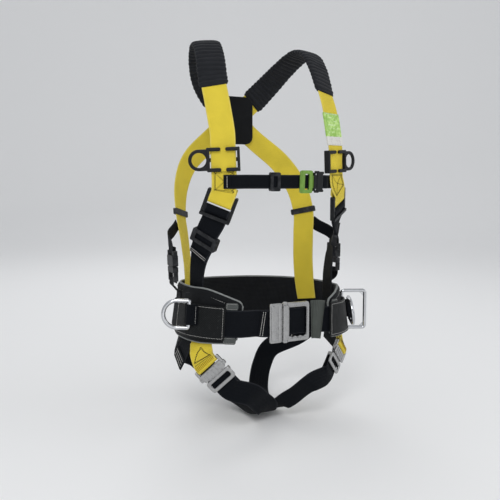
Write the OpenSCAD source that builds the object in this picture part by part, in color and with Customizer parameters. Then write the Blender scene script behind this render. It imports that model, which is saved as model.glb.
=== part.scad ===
// Full-body safety harness with a work-positioning belt, standing as it is worn.
// Millimetres, +Z up. The wearer faces -Y and the wearer's left side is +X.
// The origin is on the wearer's axis, at the middle height of the waist belt.

/* [Wearer] */
// Half width of the chest that the harness is set to
chest_half = 178; // [175:1:181]
// Half width of the waist
waist_half = 150; // [148:1:152]
// Half width of the hips
hip_half = 171; // [169:1:173]

/* [Webbing] */
// Width of the shoulder, torso and leg webbing
web_w = 45; // [44:0.5:45.5]
// Thickness of the shoulder, torso and leg webbing
web_t = 1.8; // [1.5:0.1:1.9]
// Width of the chest strap and of the link straps
chest_w = 25; // [23:0.5:26]
// Width of the waist belt webbing
belt_w = 50; // [48:0.5:51]
// Thickness of the waist belt webbing
belt_t = 2.4; // [2:0.1:2.6]

/* [Waist pad] */
// Height of the pad at its two front ends
pad_h_front = 74; // [70:1:78]
// Height of the pad at the sides and back
pad_h_back = 100; // [96:1:104]
// Thickness of the pad
pad_t = 10; // [8:0.5:10]

/* [Hook hangers] */
// Radius of the hole in each hook hanger
hanger_hole_r = 13; // [12:0.5:13.5]
// Thickness of the hanger's ring
hanger_ring_t = 5; // [4:0.5:6]

/* [Rings] */
// Radius of the wire of the D-rings
ring_wire_r = 3.8; // [3.5:0.1:3.9]
// Centre-line radius of the side D-rings' bow
side_ring_r = 25; // [24:0.5:26]
// Centre-line radius of the dorsal D-ring's bow
dorsal_ring_r = 27; // [26:0.5:28]
// Radial clearance of each ring's bar in its sleeve
ring_play = 0.07; // [0.03:0.01:0.1]

/* [Hidden] */

// Colours
YELLOW = [0.93, 0.80, 0.16];
BLACK = [0.07, 0.07, 0.08];
PLASTIC = [0.10, 0.10, 0.11];
STEEL = [0.78, 0.78, 0.77];
GREEN = [0.35, 0.55, 0.12];
GREY = [0.34, 0.36, 0.34];
LABEL = [0.55, 0.78, 0.25];

// The wearer's outline: height, half width, depth in front and depth behind
BODY = [
  [-180, hip_half - 2, 78, 118], [-120, hip_half + 1, 90, 128], [-60, hip_half - 5, 98, 122],
  [0, waist_half, 100, 108], [60, waist_half - 4, 98, 98], [130, waist_half - 2, 98, 98],
  [200, chest_half - 16, 106, 106], [260, chest_half - 4, 113, 112], [330, chest_half, 112, 116],
  [390, chest_half - 2, 98, 116], [440, chest_half - 8, 76, 108]];
SQUARENESS = 2.3;
LAYER = web_t + 0.7;
BAR_R = 2.5;
TURN_R = BAR_R + web_t / 2 + 0.4;

// ---------- Strap routes ----------
// A route point is [x, y, z, outward x, y, z, strap width].

function unit(v) = v / norm(v);
function place(p) = [p[0], p[1], p[2]];
function facing(p) = [p[3], p[4], p[5]];
function power(v, e) = sign(v) * pow(abs(v), e);
function girth(z, k) = lookup(z, [for (s = BODY) [s[0], s[k]]]);
function flip(p) = [p[0], p[1], p[2], -p[3], -p[4], -p[5], p[6]];
function mirrored(p) = [-p[0], p[1], p[2], -p[3], p[4], p[5], p[6]];
function reversed(r) = [for (i = [len(r) - 1:-1:0]) r[i]];
function moved_in(p, d) = [p[0] - d * p[3], p[1] - d * p[4], p[2] - d * p[5], p[3], p[4], p[5], p[6]];

// Point at `a` degrees round from the wearer's front (left side positive), at height z, `off` from the body
function on(a, z, off, w = web_w) =
  let (rx = girth(z, 1) + off,
       ry = girth(z, cos(a) > 0 ? 2 : 3) + off,
       x = rx * power(sin(a), 2 / SQUARENESS),
       y = -ry * power(cos(a), 2 / SQUARENESS),
       slope_x = (girth(z + 20, 1) - girth(z - 20, 1)) / 40,
       slope_y = (girth(z + 20, cos(a) > 0 ? 2 : 3) - girth(z - 20, cos(a) > 0 ? 2 : 3)) / 40,
       n = unit([power(x / rx, SQUARENESS - 1) / rx, power(y / ry, SQUARENESS - 1) / ry,
                 -pow(abs(x / rx), SQUARENESS) * slope_x / rx - pow(abs(y / ry), SQUARENESS) * slope_y / ry]))
  [x, y, z, n[0], n[1], n[2], w];

// A seat is [origin, across, along, outward]: the place of a fitting on a strap
function seat(p, from, to) =
  let (t = unit(place(to) - place(from)),
       s = unit(cross(t, facing(p))))
  [place(p), s, t, cross(s, t)];

// Route point in a seat: u across, v along, w outward, and the turn of its outward side towards +v
function rel(f, u, v, w, turn = 0, width = web_w) =
  let (p = f[0] + u * f[1] + v * f[2] + w * f[3],
       n = f[3] * cos(turn) + f[2] * sin(turn))
  [p[0], p[1], p[2], n[0], n[1], n[2], width];

// Half turn of a strap round a bar at (v, w): from outside over the bar's +v side (way 1) or -v side (way -1)
function hairpin(f, v, w, r, way, width = web_w) =
  [for (q = [0:45:180]) rel(f, 0, v + way * r * sin(q), w + r * cos(q), way * q, width)];

function blend4(a, b, c, d, t) =
  b + t / 2 * ((c - a) + t * ((2 * a - 5 * b + 4 * c - d) + t * (3 * b - a - 3 * c + d)));
function smooth(r, steps) =
  [for (i = [0:len(r) - 2]) for (k = [0:steps - 1])
     blend4(r[max(i - 1, 0)], r[i], r[i + 1], r[min(i + 2, len(r) - 1)], k / steps),
   r[len(r) - 1]];

function section(r, i, thick) =
  let (t = unit(place(r[min(i + 1, len(r) - 1)]) - place(r[max(i - 1, 0)])),
       s = unit(cross(t, facing(r[i]))),
       u = s * r[i][6] / 2,
       v = cross(s, t) * thick / 2,
       c = place(r[i]))
  [c - u - v, c + u - v, c + u + v, c - u + v];

module strap(r, thick = web_t) {
  last = len(r) - 1;
  corners = [for (i = [0:last]) each section(r, i, thick)];
  sides = [for (i = [0:last - 1]) for (k = [0:3]) let (a = 4 * i + k, b = 4 * i + (k + 1) % 4)
             each [[a, b, b + 4], [a, b + 4, a + 4]]];
  e = 4 * last;
  ends = [[0, 3, 2], [0, 2, 1], [e, e + 1, e + 2], [e, e + 2, e + 3]];
  polyhedron(points = corners, faces = concat(sides, ends), convexity = 8);
}

// Sleeve of width w and thickness thick round a strap, along the strap's own stations
module sleeve(r, w, thick) {
  last = len(r) - 1;
  outer = [for (p = r) [p[0], p[1], p[2], p[3], p[4], p[5], w]];
  inner = [for (p = r) [p[0], p[1], p[2], p[3], p[4], p[5], p[6] + 1.2]];
  corners = [for (i = [0:last]) each concat(section(outer, i, thick), section(inner, i, web_t + 0.9))];
  sides = [for (i = [0:last - 1]) for (k = [0:3]) let (a = 8 * i + k, b = 8 * i + (k + 1) % 4)
             each [[a, b, b + 8], [a, b + 8, a + 8], [a + 4, b + 12, b + 4], [a + 4, a + 12, b + 12]]];
  ends = [for (k = [0:3]) let (a = k, b = (k + 1) % 4, e = 8 * last)
            each [[a, a + 4, b + 4], [a, b + 4, b],
                  [e + a, e + b + 4, e + a + 4], [e + a, e + b, e + b + 4]]];
  polyhedron(points = corners, faces = concat(sides, ends), convexity = 10);
}

// ---------- Shared shapes ----------

module put(f)
  multmatrix([[f[1][0], f[2][0], f[3][0], f[0][0]], [f[1][1], f[2][1], f[3][1], f[0][1]],
              [f[1][2], f[2][2], f[3][2], f[0][2]], [0, 0, 0, 1]]) children();
module left_side() mirror([1, 0, 0]) children();
module at(u, v, w = 0) translate([u, v, w]) children();

// Plate across u and along v, centred, with round corners
module plate(w, h, t, r) {
  linear_extrude(height = t, center = true) {
    square([w - 2 * r, h], center = true);
    square([w, h - 2 * r], center = true);
    for (x = [-1, 1]) for (y = [-1, 1]) translate([x * (w / 2 - r), y * (h / 2 - r)]) circle(r, $fn = 32);
  }
}
module bar_across(length, r) rotate([0, 90, 0]) cylinder(h = length, r = r, center = true, $fn = 32);
module bar_along(length, r) rotate([90, 0, 0]) cylinder(h = length, r = r, center = true, $fn = 32);

// Knurled bar across a fitting: a round bar with raised ribs
module ribbed_bar(length, r, ribs) {
  bar_across(length, r - 0.5);
  for (i = [0:ribs - 1]) at((i - (ribs - 1) / 2) * (length - 8) / ribs, 0) bar_across(1.6, r);
}

// D-ring: bar along v, bow towards +u
module bow_ring(r, leg, wire) {
  bar_along(2 * r, wire);
  for (v = [-r, r]) at(0, v) {
    sphere(wire, $fn = 32);
    rotate([0, 90, 0]) cylinder(h = leg, r = wire, $fn = 32);
  }
  at(leg, 0) rotate([0, 0, -90])
    rotate_extrude(angle = 180, $fn = 64) translate([r, 0]) circle(wire, $fn = 32);
}
// Turns a ring about its bar: 90 degrees points straight out
module swung(angle) rotate([0, -angle, 0]) children();

// ---------- Places of the fittings ----------

PAD_IN = 13;
PAD_MID = PAD_IN + pad_t / 2;
BELT_OFF = PAD_IN + pad_t + 2 + belt_t / 2;
PATCH_T = 3;
PATCH_OFF = BELT_OFF + belt_t / 2 + 0.4 + PATCH_T / 2;
RING_OFF = PATCH_OFF + PATCH_T / 2 + ring_wire_r + 3;
CHEST_Z = 261;
CHEST_T = 1.4;
CHEST_TURN = 2.9;
BELT_TURN = 4.2;

// The belt sits a little lower on the wearer's left side
function round_waist(a, dz, off, w) = on(a, dz - 8 * sin(a), off, w);

// The left shoulder strap runs up to `lean` = 1 times these angles nearer the front than the right one
function front(lean, z) = -40 + lean * lookup(z, [[240, 2], [261, 5], [300, 7], [350, 8]]);
function hanger_seat(lean) =
  seat(on(front(lean, 300), 300, 7), on(front(lean, 285), 285, 7), on(front(lean, 315), 315, 7));
function chest_side(lean) = let (a = front(lean, CHEST_Z))
  seat(on(a, CHEST_Z, 8.2), on(a - 4, CHEST_Z, 8.2), on(a + 4, CHEST_Z, 8.2));
ADJUSTER = seat(on(-46, 218, 5.5), on(-50, 200, 5.5), on(-42, 238, 5.5));
KEEPER = seat(on(-63, 156, 6), on(-67, 143, 6), on(-59, 169, 6));
BACK_SLIDER = seat(on(125, 200, 8), on(122, 150, 8), on(135, 255, 8));
LINK = seat(on(-93, 103, 36), on(-93, 78, 36), on(-93, 128, 36));
CHEST = seat(on(11, CHEST_Z, 12), on(5, CHEST_Z, 12), on(17, CHEST_Z, 12));
CHEST_KEEPER = seat(on(-8.6, CHEST_Z, 8), on(-14, CHEST_Z, 8), on(-4, CHEST_Z, 8));
WAIST = seat(on(0, 0, 15), on(-6, 0, 15), on(6, 0, 15));
LEG = seat(on(-44.8, -92.6, 12), on(-36.8, -110.6, 12), on(-52.8, -74.6, 12));
function ring_seat(a, dz, off) =
  seat(round_waist(a, dz, off, 0), round_waist(a, dz - 20, off, 0), round_waist(a, dz + 20, off, 0));
RING_RIGHT = ring_seat(-70, 12, RING_OFF);
RING_LEFT = ring_seat(69, 8, RING_OFF + 2);
SQUARE_BAR = round_waist(88, -2, RING_OFF + 3, 0);
RING_SQUARE = seat(SQUARE_BAR, SQUARE_BAR, SQUARE_BAR + [0, 0, 1, 0, 0, 0, 0]);
DORSAL_Z = 395;
DORSAL_Y = girth(DORSAL_Z, 3) + 21.5;
DORSAL = [[0, DORSAL_Y + ring_wire_r + 2, DORSAL_Z], [0, 0, -1], [1, 0, 0], [0, -1, 0]];

// Rear hip, up the back and across it, over the other shoulder, down to the torso adjuster and back
function shoulder_route(lift, lean) = concat([
  on(114, 8, 3.4), on(116, 30, 4), on(118, 60, 5), on(120, 100, 6), on(122, 150, 8), on(125, 200, 8),
  on(135, 255, 8), on(149, 305, 8 + lift),
  [50, 124 + lift, 352, 0, 1, 0, web_w], [0, 124 + lift, 394, 0, 1, 0, web_w],
  [-46, 124 + lift, 433, -0.04, 1, 0.04, web_w], [-76, 106 + lift, 468, -0.15, 0.85, 0.45, web_w],
  [-96 + 2 * lean, 70, 500, -0.15, 0.5, 0.85, web_w],
  [-110 + 6 * lean, 28, 519, -0.12, 0.15, 0.98, web_w],
  [-119 + 13 * lean, -10, 514, -0.15, -0.3, 0.93, web_w],
  [-126 + 22 * lean, -42, 484, -0.25, -0.7, 0.65, web_w],
  [-130 + 29 * lean, -62 - 6 * lean, 444, -0.38 + 0.06 * lean, -0.82, 0.35, web_w],
  [-129 + 27 * lean, -79 - 10 * lean, 400, -0.42 + 0.1 * lean, -0.87, 0.2, web_w],
  on(front(lean, 350), 350, 6.5), on(front(lean, 325), 325, 7), on(front(lean, 300), 300, 7),
  on(front(lean, 278), 278, 7.4), on(front(lean, CHEST_Z), CHEST_Z, 8.2),
  rel(ADJUSTER, 0, 27, TURN_R + 0.4), rel(ADJUSTER, 0, 15, TURN_R)],
  hairpin(ADJUSTER, 5, 0, TURN_R, -1),
  [rel(ADJUSTER, 0, 15, -TURN_R, 180), rel(ADJUSTER, 0, 28, -TURN_R, 180),
   rel(ADJUSTER, 0, 38, -TURN_R + 0.4, 180)]);

// Loose end, through the keeper, round the slide bar, back through the keeper and down to the hip
TORSO_ROUTE = concat([
  on(-74, 122, 7.5), on(-69, 138, 7.4),
  rel(KEEPER, 0, -10, 1.3), rel(KEEPER, 0, 2, 1.3), rel(KEEPER, 0, 16, 1.6),
  rel(ADJUSTER, 0, -32, 1.2), rel(ADJUSTER, 0, -24, 0.6), rel(ADJUSTER, 0, -18.5, 1.4),
  rel(ADJUSTER, 0, -14, 4.5)],
  hairpin(ADJUSTER, -8, 0, 4.8, 1),
  [rel(ADJUSTER, 0, -15, -4.8, 180), rel(ADJUSTER, 0, -24, -3.6, 180), rel(ADJUSTER, 0, -32, -2.8, 180),
   rel(KEEPER, 0, 16, -1.4, 180), rel(KEEPER, 0, 2, -1.3, 180), rel(KEEPER, 0, -10, -1.3, 180),
   flip(on(-70, 136, 4.6)), flip(on(-75, 118, 4)), flip(on(-79, 95, 3)), flip(on(-81, 65, 3)),
   flip(on(-82, 35, 2.6)), flip(on(-84, 0, 2.2)), flip(on(-86, -30, 2)), flip(on(-89, -60, 2.6)),
   flip(on(-93, -86, 7))]);

// Thigh strap: rear hip, buttock, between the legs, groin, then round the anchor bar of the leg tongue
function leg_route(tuck) = concat([
  on(-101, -10, 5.4), on(-106, -34, 4.6), on(-117, -58, 5.5), on(-131, -84, 6.5),
  [-92, 122, -112, -0.3, 0.95, -0.1, web_w], [-62, 110, -146, -0.1, 0.93, -0.35, web_w],
  [-36, 76, -178, 0, 0.75, -0.65, web_w], moved_in([-18, 34, -197, 0, 0.3, -0.95, web_w], tuck),
  moved_in([-12, -8, -203, 0, -0.1, -1, web_w], tuck),
  moved_in([-11, -40, -195, 0, -0.65, -0.75, web_w], tuck),
  moved_in([-16, -60, -180, 0, -0.95, -0.3, web_w], tuck),
  moved_in([-38, -75, -161, -0.08, -1, -0.12, web_w], tuck),
  [-66, -89, -138 + tuck, -0.15, -1, -0.08, web_w],
  rel(LEG, 0, -42, -5.5), rel(LEG, 0, -22, -3.8)],
  hairpin(LEG, -6, -7, 3.2, 1),
  [rel(LEG, 0, -24, -10.2, 180), rel(LEG, 0, -44, -10.8, 180)]);

// Leg tab: down from the belt, round the bar of the leg socket and back up in front of itself
TAB_ROUTE = concat(
  [for (p = [[-67, 6, 6], [-66, -16, 5.4], [-65, -34, 4], [-63.6, -46, 4.4]]) flip(on(p[0], p[1], p[2]))],
  [rel(LEG, 5, 47, -12.5, 200), rel(LEG, 1.2, 39, -8.5, 205), rel(LEG, 0, 31, -TURN_R - 0.4, 185)],
  reversed(hairpin(LEG, 24, 0, TURN_R, -1)),
  [rel(LEG, 0, 31, 2.8, 5), rel(LEG, 1.2, 39, -4.4, 25), rel(LEG, 5, 47, -9.4, 20),
   rel(LEG, 8, 50.6, -11.2, 20)]);

CHEST_LONG_ROUTE = concat(
  [rel(chest_side(0), 0, -1, 3.3, 0, chest_w), rel(chest_side(0), 0, 24, 3.3, 0, chest_w)],
  [for (a = [-26, -18, -8, 0]) on(a, CHEST_Z, 9.4, chest_w)],
  [rel(CHEST, 0, -32, -2.9, 0, chest_w), rel(CHEST, 0, -18, -2.9, 0, chest_w)],
  hairpin(CHEST, -6, -2.9 - CHEST_TURN, CHEST_TURN, 1, chest_w),
  [rel(CHEST, 0, -20, -8.4, 180, chest_w), flip(on(1, CHEST_Z, 5.4, chest_w)),
   flip(on(-8, CHEST_Z, 6.6, chest_w)), flip(on(-19, CHEST_Z, 6.6, chest_w))]);

CHEST_SHORT_ROUTE = concat(
  [for (p = [[8, -5.2], [25, -4.4]]) mirrored(rel(chest_side(1), 0, p[0], p[1], 0, chest_w))],
  [rel(CHEST, 0, 36, -2.9, 0, chest_w)],
  hairpin(CHEST, 22, -2.9 - CHEST_TURN, CHEST_TURN, -1, chest_w),
  [rel(CHEST, 0, 38, -8.7, 180, chest_w)]);

BELT_ROUTE = concat(
  [rel(WAIST, 0, -58, -11.8, 180, belt_w), rel(WAIST, 0, -42, -11.8, 180, belt_w)],
  reversed(hairpin(WAIST, -25, -3.4 - BELT_TURN, BELT_TURN, 1, belt_w)),
  [rel(WAIST, 0, -46, -3.4, 0, belt_w), round_waist(-20, 0, 15, belt_w), round_waist(-27, 0, 21, belt_w)],
  [for (a = [-34:-14:-328]) round_waist(a, 0, BELT_OFF, belt_w)],
  [round_waist(25, 0, 16.5, belt_w), rel(WAIST, 0, 60, -3.4, 0, belt_w), rel(WAIST, 0, 44, -4.8, 0, belt_w),
   rel(WAIST, 0, 20, -4.8, 0, belt_w)],
  hairpin(WAIST, 3, -4.8 - BELT_TURN, BELT_TURN, -1, belt_w),
  [rel(WAIST, 0, 20, -13.2, 180, belt_w), rel(WAIST, 0, 48, -13.2, 180, belt_w)]);

LINK_UPPER_ROUTE = concat(
  [on(-116, 178, 13, chest_w), on(-110, 168, 20, chest_w), on(-100, 155, 34, chest_w),
   rel(LINK, 0, 38, 2.9, 0, chest_w)],
  hairpin(LINK, 25, 0, CHEST_TURN, -1, chest_w),
  [rel(LINK, 0, 36, -2.9, 180, chest_w)]);
LINK_LOWER_ROUTE = concat(
  [on(-94, 40, 24.6, chest_w), on(-94, 54, 25.6, chest_w), rel(LINK, 0, -38, 2.9, 0, chest_w)],
  hairpin(LINK, -25, 0, CHEST_TURN, 1, chest_w),
  [rel(LINK, 0, -33, -2.9, 180, chest_w)]);

SHOULDER_RIGHT = smooth(shoulder_route(0, 0), 3);
SHOULDER_LEFT = smooth(shoulder_route(LAYER + 0.6, 1), 3);

// ---------- Shoulders and back ----------

module shoulder_strap_right() color(YELLOW) strap(SHOULDER_RIGHT);
module shoulder_strap_left() color(YELLOW) left_side() strap(SHOULDER_LEFT);
module shoulder_pad(r) color(BLACK) sleeve([for (p = r) if (p[2] > 430 && p[0] < -44) p], 57, 13);
module shoulder_pad_right() shoulder_pad(SHOULDER_RIGHT);
module shoulder_pad_left() left_side() shoulder_pad(SHOULDER_LEFT);
module label_sleeve() color(LABEL) left_side()
  sleeve([for (p = SHOULDER_LEFT) if (p[2] > 340 && p[2] < 392 && p[1] < 0) p], web_w + 3, web_t + 2.4);

module facing_back(y, z) translate([0, y, z]) rotate([90, 0, 180]) children();
module dorsal_backing() color(BLACK) facing_back(girth(392, 3) + 1.5, 392) plate(84, 100, 3, 18);
module dorsal_plate() color(PLASTIC) {
  facing_back(DORSAL_Y - 3, 392) difference() {
    plate(86, 92, 4, 14);
    for (v = [-1, 1]) at(0, v * 33) plate(52, 5, 6, 2.4);
  }
  put(DORSAL) for (v = [-15, 15]) at(0, v) difference() {
    union() {
      bar_along(14, ring_wire_r + 3);
      at(0, 0, 4) cube([2 * ring_wire_r + 6, 14, 8], center = true);
    }
    bar_along(15, ring_wire_r + ring_play);
  }
}
module dorsal_ring() color(STEEL) put(DORSAL) bow_ring(dorsal_ring_r, 16, ring_wire_r);

// ---------- Hook hangers ----------

module hook_hanger(lean) color(PLASTIC) put(hanger_seat(lean)) {
  for (u = [-1, 1]) at(27 * u, 0) plate(4.8, 43, 12.6, 2);
  for (u = [-1, 1]) for (v = [-1, 1]) at(16.2 * u, 18 * v, 4.3) plate(24, 7, 4, 1.5);
  at(0, 0, -4.6) plate(54, 7, 4, 1.5);
  at(-43.4, 0, 2) difference() {
    union() {
      cylinder(h = hanger_ring_t, r = hanger_hole_r + 6, center = true, $fn = 64);
      translate([8, 0, 0]) cube([16, 2 * hanger_hole_r + 12, hanger_ring_t], center = true);
    }
    cylinder(h = hanger_ring_t + 1, r = hanger_hole_r, center = true, $fn = 64);
  }
}
module hook_hanger_right() hook_hanger(0);
module hook_hanger_left() left_side() hook_hanger(1);

// ---------- Chest strap ----------

module chest_strap_long() color(BLACK) strap(smooth(CHEST_LONG_ROUTE, 2), CHEST_T);
module chest_strap_short() color(BLACK) strap(smooth(CHEST_SHORT_ROUTE, 2), CHEST_T);
module chest_keeper() color(PLASTIC) put(CHEST_KEEPER) difference() {
  plate(34, 20, 8.6, 3);
  cube([chest_w + 1.4, 30, 6], center = true);
  at(0, 0, 4) cube([chest_w - 5, 8, 4], center = true);
}
module chest_tongue() color(GREEN) put(CHEST) {
  difference() {
    at(0, -15.5) plate(42, 29, 3.5, 4);
    at(0, -14) plate(29, 10, 5, 2);
  }
  for (u = [-1, 1]) at(17 * u, -6, -4) plate(4, 6, 6, 1.5);
  at(0, -6, -2.9 - CHEST_TURN) bar_across(34, 1.8);
  at(0, 6) plate(23, 15, 3.4, 3);
}
module chest_socket() color(PLASTIC) put(CHEST) difference() {
  union() {
    at(0, 9, -0.5) plate(34, 17, 10, 2.5);
    at(0, 10.5, 1.6) plate(36.4, 21, 5.8, 3.4);
    for (u = [-1, 1]) at(16.5 * u, 19, -3) plate(5, 14, 8, 2);
    at(0, 22, -2.9 - CHEST_TURN) bar_across(34, 1.8);
  }
  at(0, 7) cube([27, 14.5, 4], center = true);
  for (u = [-1, 1]) at(17 * u, 9) cube([10, 8.6, 5.4], center = true);
}
module chest_release(way) color(PLASTIC) put(CHEST) at(17.2 * way, 9) plate(6, 8, 5, 1.5);
module chest_release_upper() chest_release(-1);
module chest_release_lower() chest_release(1);

// ---------- Torso straps ----------

module torso_strap_right() color(BLACK) strap(smooth(TORSO_ROUTE, 2));
module torso_strap_left() left_side() torso_strap_right();
module torso_adjuster() color(PLASTIC) put(ADJUSTER) {
  at(0, 5) bar_across(50, BAR_R);
  at(0, -22.5, 5.2) plate(58, 6, 3.6, 1.8);
  for (u = [-1, 1]) difference() {
    at(26 * u, 0) plate(6, 50, 8, 2.4);
    at(24 * u, -9) cube([5, 14, 2.6], center = true);
  }
}
module torso_slide_bar() color(PLASTIC) put(ADJUSTER) {
  at(0, -8) ribbed_bar(45, 3.2, 12);
  for (u = [-1, 1]) at(24 * u, -8) cube([4, 7, 2.2], center = true);
}
module torso_keeper() color(PLASTIC) put(KEEPER) difference() {
  plate(55, 26, 10.4, 3);
  cube([web_w + 2.4, 40, 7.2], center = true);
  at(0, 0, 5) cube([web_w - 8, 11, 6], center = true);
}
module torso_adjuster_right() torso_adjuster();
module torso_adjuster_left() left_side() torso_adjuster();
module torso_slide_bar_right() torso_slide_bar();
module torso_slide_bar_left() left_side() torso_slide_bar();
module torso_keeper_right() torso_keeper();
module torso_keeper_left() left_side() torso_keeper();
module back_slider() color(PLASTIC) put(BACK_SLIDER) difference() {
  plate(54, 12, 6.4, 2.4);
  cube([web_w + 1.6, 20, web_t + 1.4], center = true);
}
module back_slider_left() back_slider();
module back_slider_right() left_side() back_slider();

// ---------- Link straps between the back straps and the belt ----------

module link_webbing() color(BLACK) {
  strap(smooth(LINK_UPPER_ROUTE, 2), CHEST_T);
  strap(smooth(LINK_LOWER_ROUTE, 2), CHEST_T);
}
module link_socket() color(PLASTIC) put(LINK) difference() {
  union() {
    at(0, 10) plate(34, 21, 11, 3);
    for (u = [-1, 1]) at(16 * u, 22) plate(5, 14, 8, 2);
    at(0, 25) bar_across(34, 1.8);
  }
  at(0, 6) cube([28, 20, 6], center = true);
}
module link_plug() color(PLASTIC) put(LINK) {
  at(0, -7) plate(34, 11, 10, 3);
  for (u = [-1, 1]) at(16 * u, -20) plate(5, 18, 8, 2);
  at(0, -25) bar_across(34, 1.8);
  for (u = [-1, 0, 1]) at(10 * u, 6) plate(5.5, 18, 5, 2);
}
module link_webbing_right() link_webbing();
module link_webbing_left() left_side() link_webbing();
module link_socket_right() link_socket();
module link_socket_left() left_side() link_socket();
module link_plug_right() link_plug();
module link_plug_left() left_side() link_plug();

// ---------- Waist belt ----------

// Pad height at angle a: full height from 60 degrees round, down to the front ends
function pad_height(a) = let (k = min(1, max(0, (min(a, 360 - a) - 30) / 30)))
  pad_h_front + (pad_h_back - pad_h_front) * k * k * (3 - 2 * k);
module waist_pad() color(BLACK)
  strap(smooth([for (a = [32:14.8:328])
    round_waist(-a, (pad_height(a) - pad_h_front) / 3, PAD_MID, pad_height(a))], 2), pad_t);
module corner_tab(a, dz)
  strap([for (k = [0:2]) round_waist(a + 3.5 * k * sign(a), dz, PAD_IN + pad_t + 1.6, 9)], 1);
module pad_corner_tabs() color(GREY) for (dz = [-32, 32]) {
  corner_tab(-33, dz);
  corner_tab(32.5, dz);
}
module belt_webbing() color(BLACK) strap(smooth(BELT_ROUTE, 2), belt_t);
module belt_keeper_left() color(GREY)
  strap(smooth([rel(WAIST, 0, 49, -1.2, 0, 74), rel(WAIST, 0, 60, 0.2, 0, 74),
                round_waist(23.5, 0, 20, 74)], 3), 2);
// Sewn loop that holds a ring's bar
module ring_tube(f, length) put(f) difference() {
  bar_along(length, ring_wire_r + 2.4);
  bar_along(length + 1, ring_wire_r + ring_play);
}
module ring_patch_right() color(BLACK) {
  strap(smooth([for (a = [-46:-11:-90]) round_waist(a, 0, PATCH_OFF, 62)], 2), PATCH_T);
  ring_tube(RING_RIGHT, 38);
}
module ring_patch_left() color(BLACK) {
  strap(smooth([for (a = [34:10:94]) round_waist(a, 0, PATCH_OFF, 66)], 2), PATCH_T);
  ring_tube(RING_LEFT, 38);
  ring_tube(RING_SQUARE, 52);
}
module side_ring_right() color(STEEL) put(RING_RIGHT) swung(135) bow_ring(side_ring_r, 22, ring_wire_r);
module side_ring_left() color(STEEL) put(RING_LEFT) swung(183) bow_ring(side_ring_r, 22, ring_wire_r);
module square_ring() color(STEEL) put(RING_SQUARE) swung(114) {
  half = 40;
  reach = 50;
  for (u = [0, reach]) at(u, 0) bar_along(2 * half, ring_wire_r);
  for (v = [-half, half]) at(0, v) {
    rotate([0, 90, 0]) cylinder(h = reach, r = ring_wire_r, $fn = 32);
    for (u = [0, reach]) at(u, 0) sphere(ring_wire_r, $fn = 32);
  }
}

module waist_tongue() color(STEEL) put(WAIST) {
  at(0, -29) plate(74, 26, 3.5, 4);
  for (u = [-1, 1]) at(29 * u, -25, -5.5) plate(5, 8, 9, 2);
  at(0, -25, -3.4 - BELT_TURN) bar_across(60, 2);
  at(0, -9) plate(50, 17, 3, 3);
}
module waist_frame() color(STEEL) put(WAIST) difference() {
  union() {
    difference() {
      at(0, 14) plate(74, 57, 6, 5);
      at(0, 16) plate(56, 42, 8, 3);
    }
    at(0, -9) plate(66, 11, 9, 2);
    for (u = [-1, 1]) at(31 * u, 6, -7) plate(6, 18, 11, 2);
  }
  at(0, -8) cube([51, 14, 3.8], center = true);
  for (u = [-1, 1]) at(30 * u, 5, -4.8 - BELT_TURN) cube([8, 12, 5.6], center = true);
  for (u = [-1, 1]) at(32 * u, -9) cube([14.2, 8.4, 5], center = true);
}
module waist_slide_bar() color(STEEL) put(WAIST) {
  at(0, 3, -4.8 - BELT_TURN) ribbed_bar(56, 2.6, 14);
}
module waist_release(way) color(STEEL) put(WAIST) at(34 * way, -9) plate(9, 8, 4.6, 1.5);
module waist_release_upper() waist_release(-1);
module waist_release_lower() waist_release(1);

// ---------- Leg straps ----------

module leg_tab_right() color(YELLOW) strap(smooth(TAB_ROUTE, 2));
module leg_tab_left() left_side() leg_tab_right();
module leg_socket() color(STEEL) put(LEG) difference() {
  union() {
    at(0, 9) plate(50, 17, 9, 3);
    for (u = [-1, 1]) at(26.2 * u, 19) plate(5, 16, 7, 2);
    at(0, 24) bar_across(51, BAR_R);
    for (u = [-2:2]) at(8 * u, 9, 4.5) plate(2.4, 14, 1.6, 1);
  }
  at(0, 7) cube([39, 16, 3.8], center = true);
  for (u = [-1, 1]) at(24 * u, 9) cube([14, 9.4, 4.9], center = true);
}
module leg_tongue() color(STEEL) put(LEG) {
  difference() {
    at(0, -13) plate(56, 24, 4, 5);
    at(0, -13) plate(44, 10, 6, 3);
  }
  for (u = [-1, 1]) at(25.5 * u, -6, -5) plate(4, 7, 8, 1.5);
  at(0, -6, -7) bar_across(52, 1.8);
  at(0, 6) plate(36, 15, 3.2, 3);
}
module leg_lever(way) color(STEEL) put(LEG) at(26.5 * way, 9) plate(8, 9, 4.5, 2);
module leg_socket_right() leg_socket();
module leg_socket_left() left_side() leg_socket();
module leg_tongue_right() leg_tongue();
module leg_tongue_left() left_side() leg_tongue();
module leg_lever_front_right() leg_lever(1);
module leg_lever_front_left() left_side() leg_lever(1);
module leg_lever_rear_right() leg_lever(-1);
module leg_lever_rear_left() left_side() leg_lever(-1);
module leg_strap_right() color(BLACK) strap(smooth(leg_route(0), 2));
module leg_strap_left() color(BLACK) left_side() strap(smooth(leg_route(2 * LAYER), 2));

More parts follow.
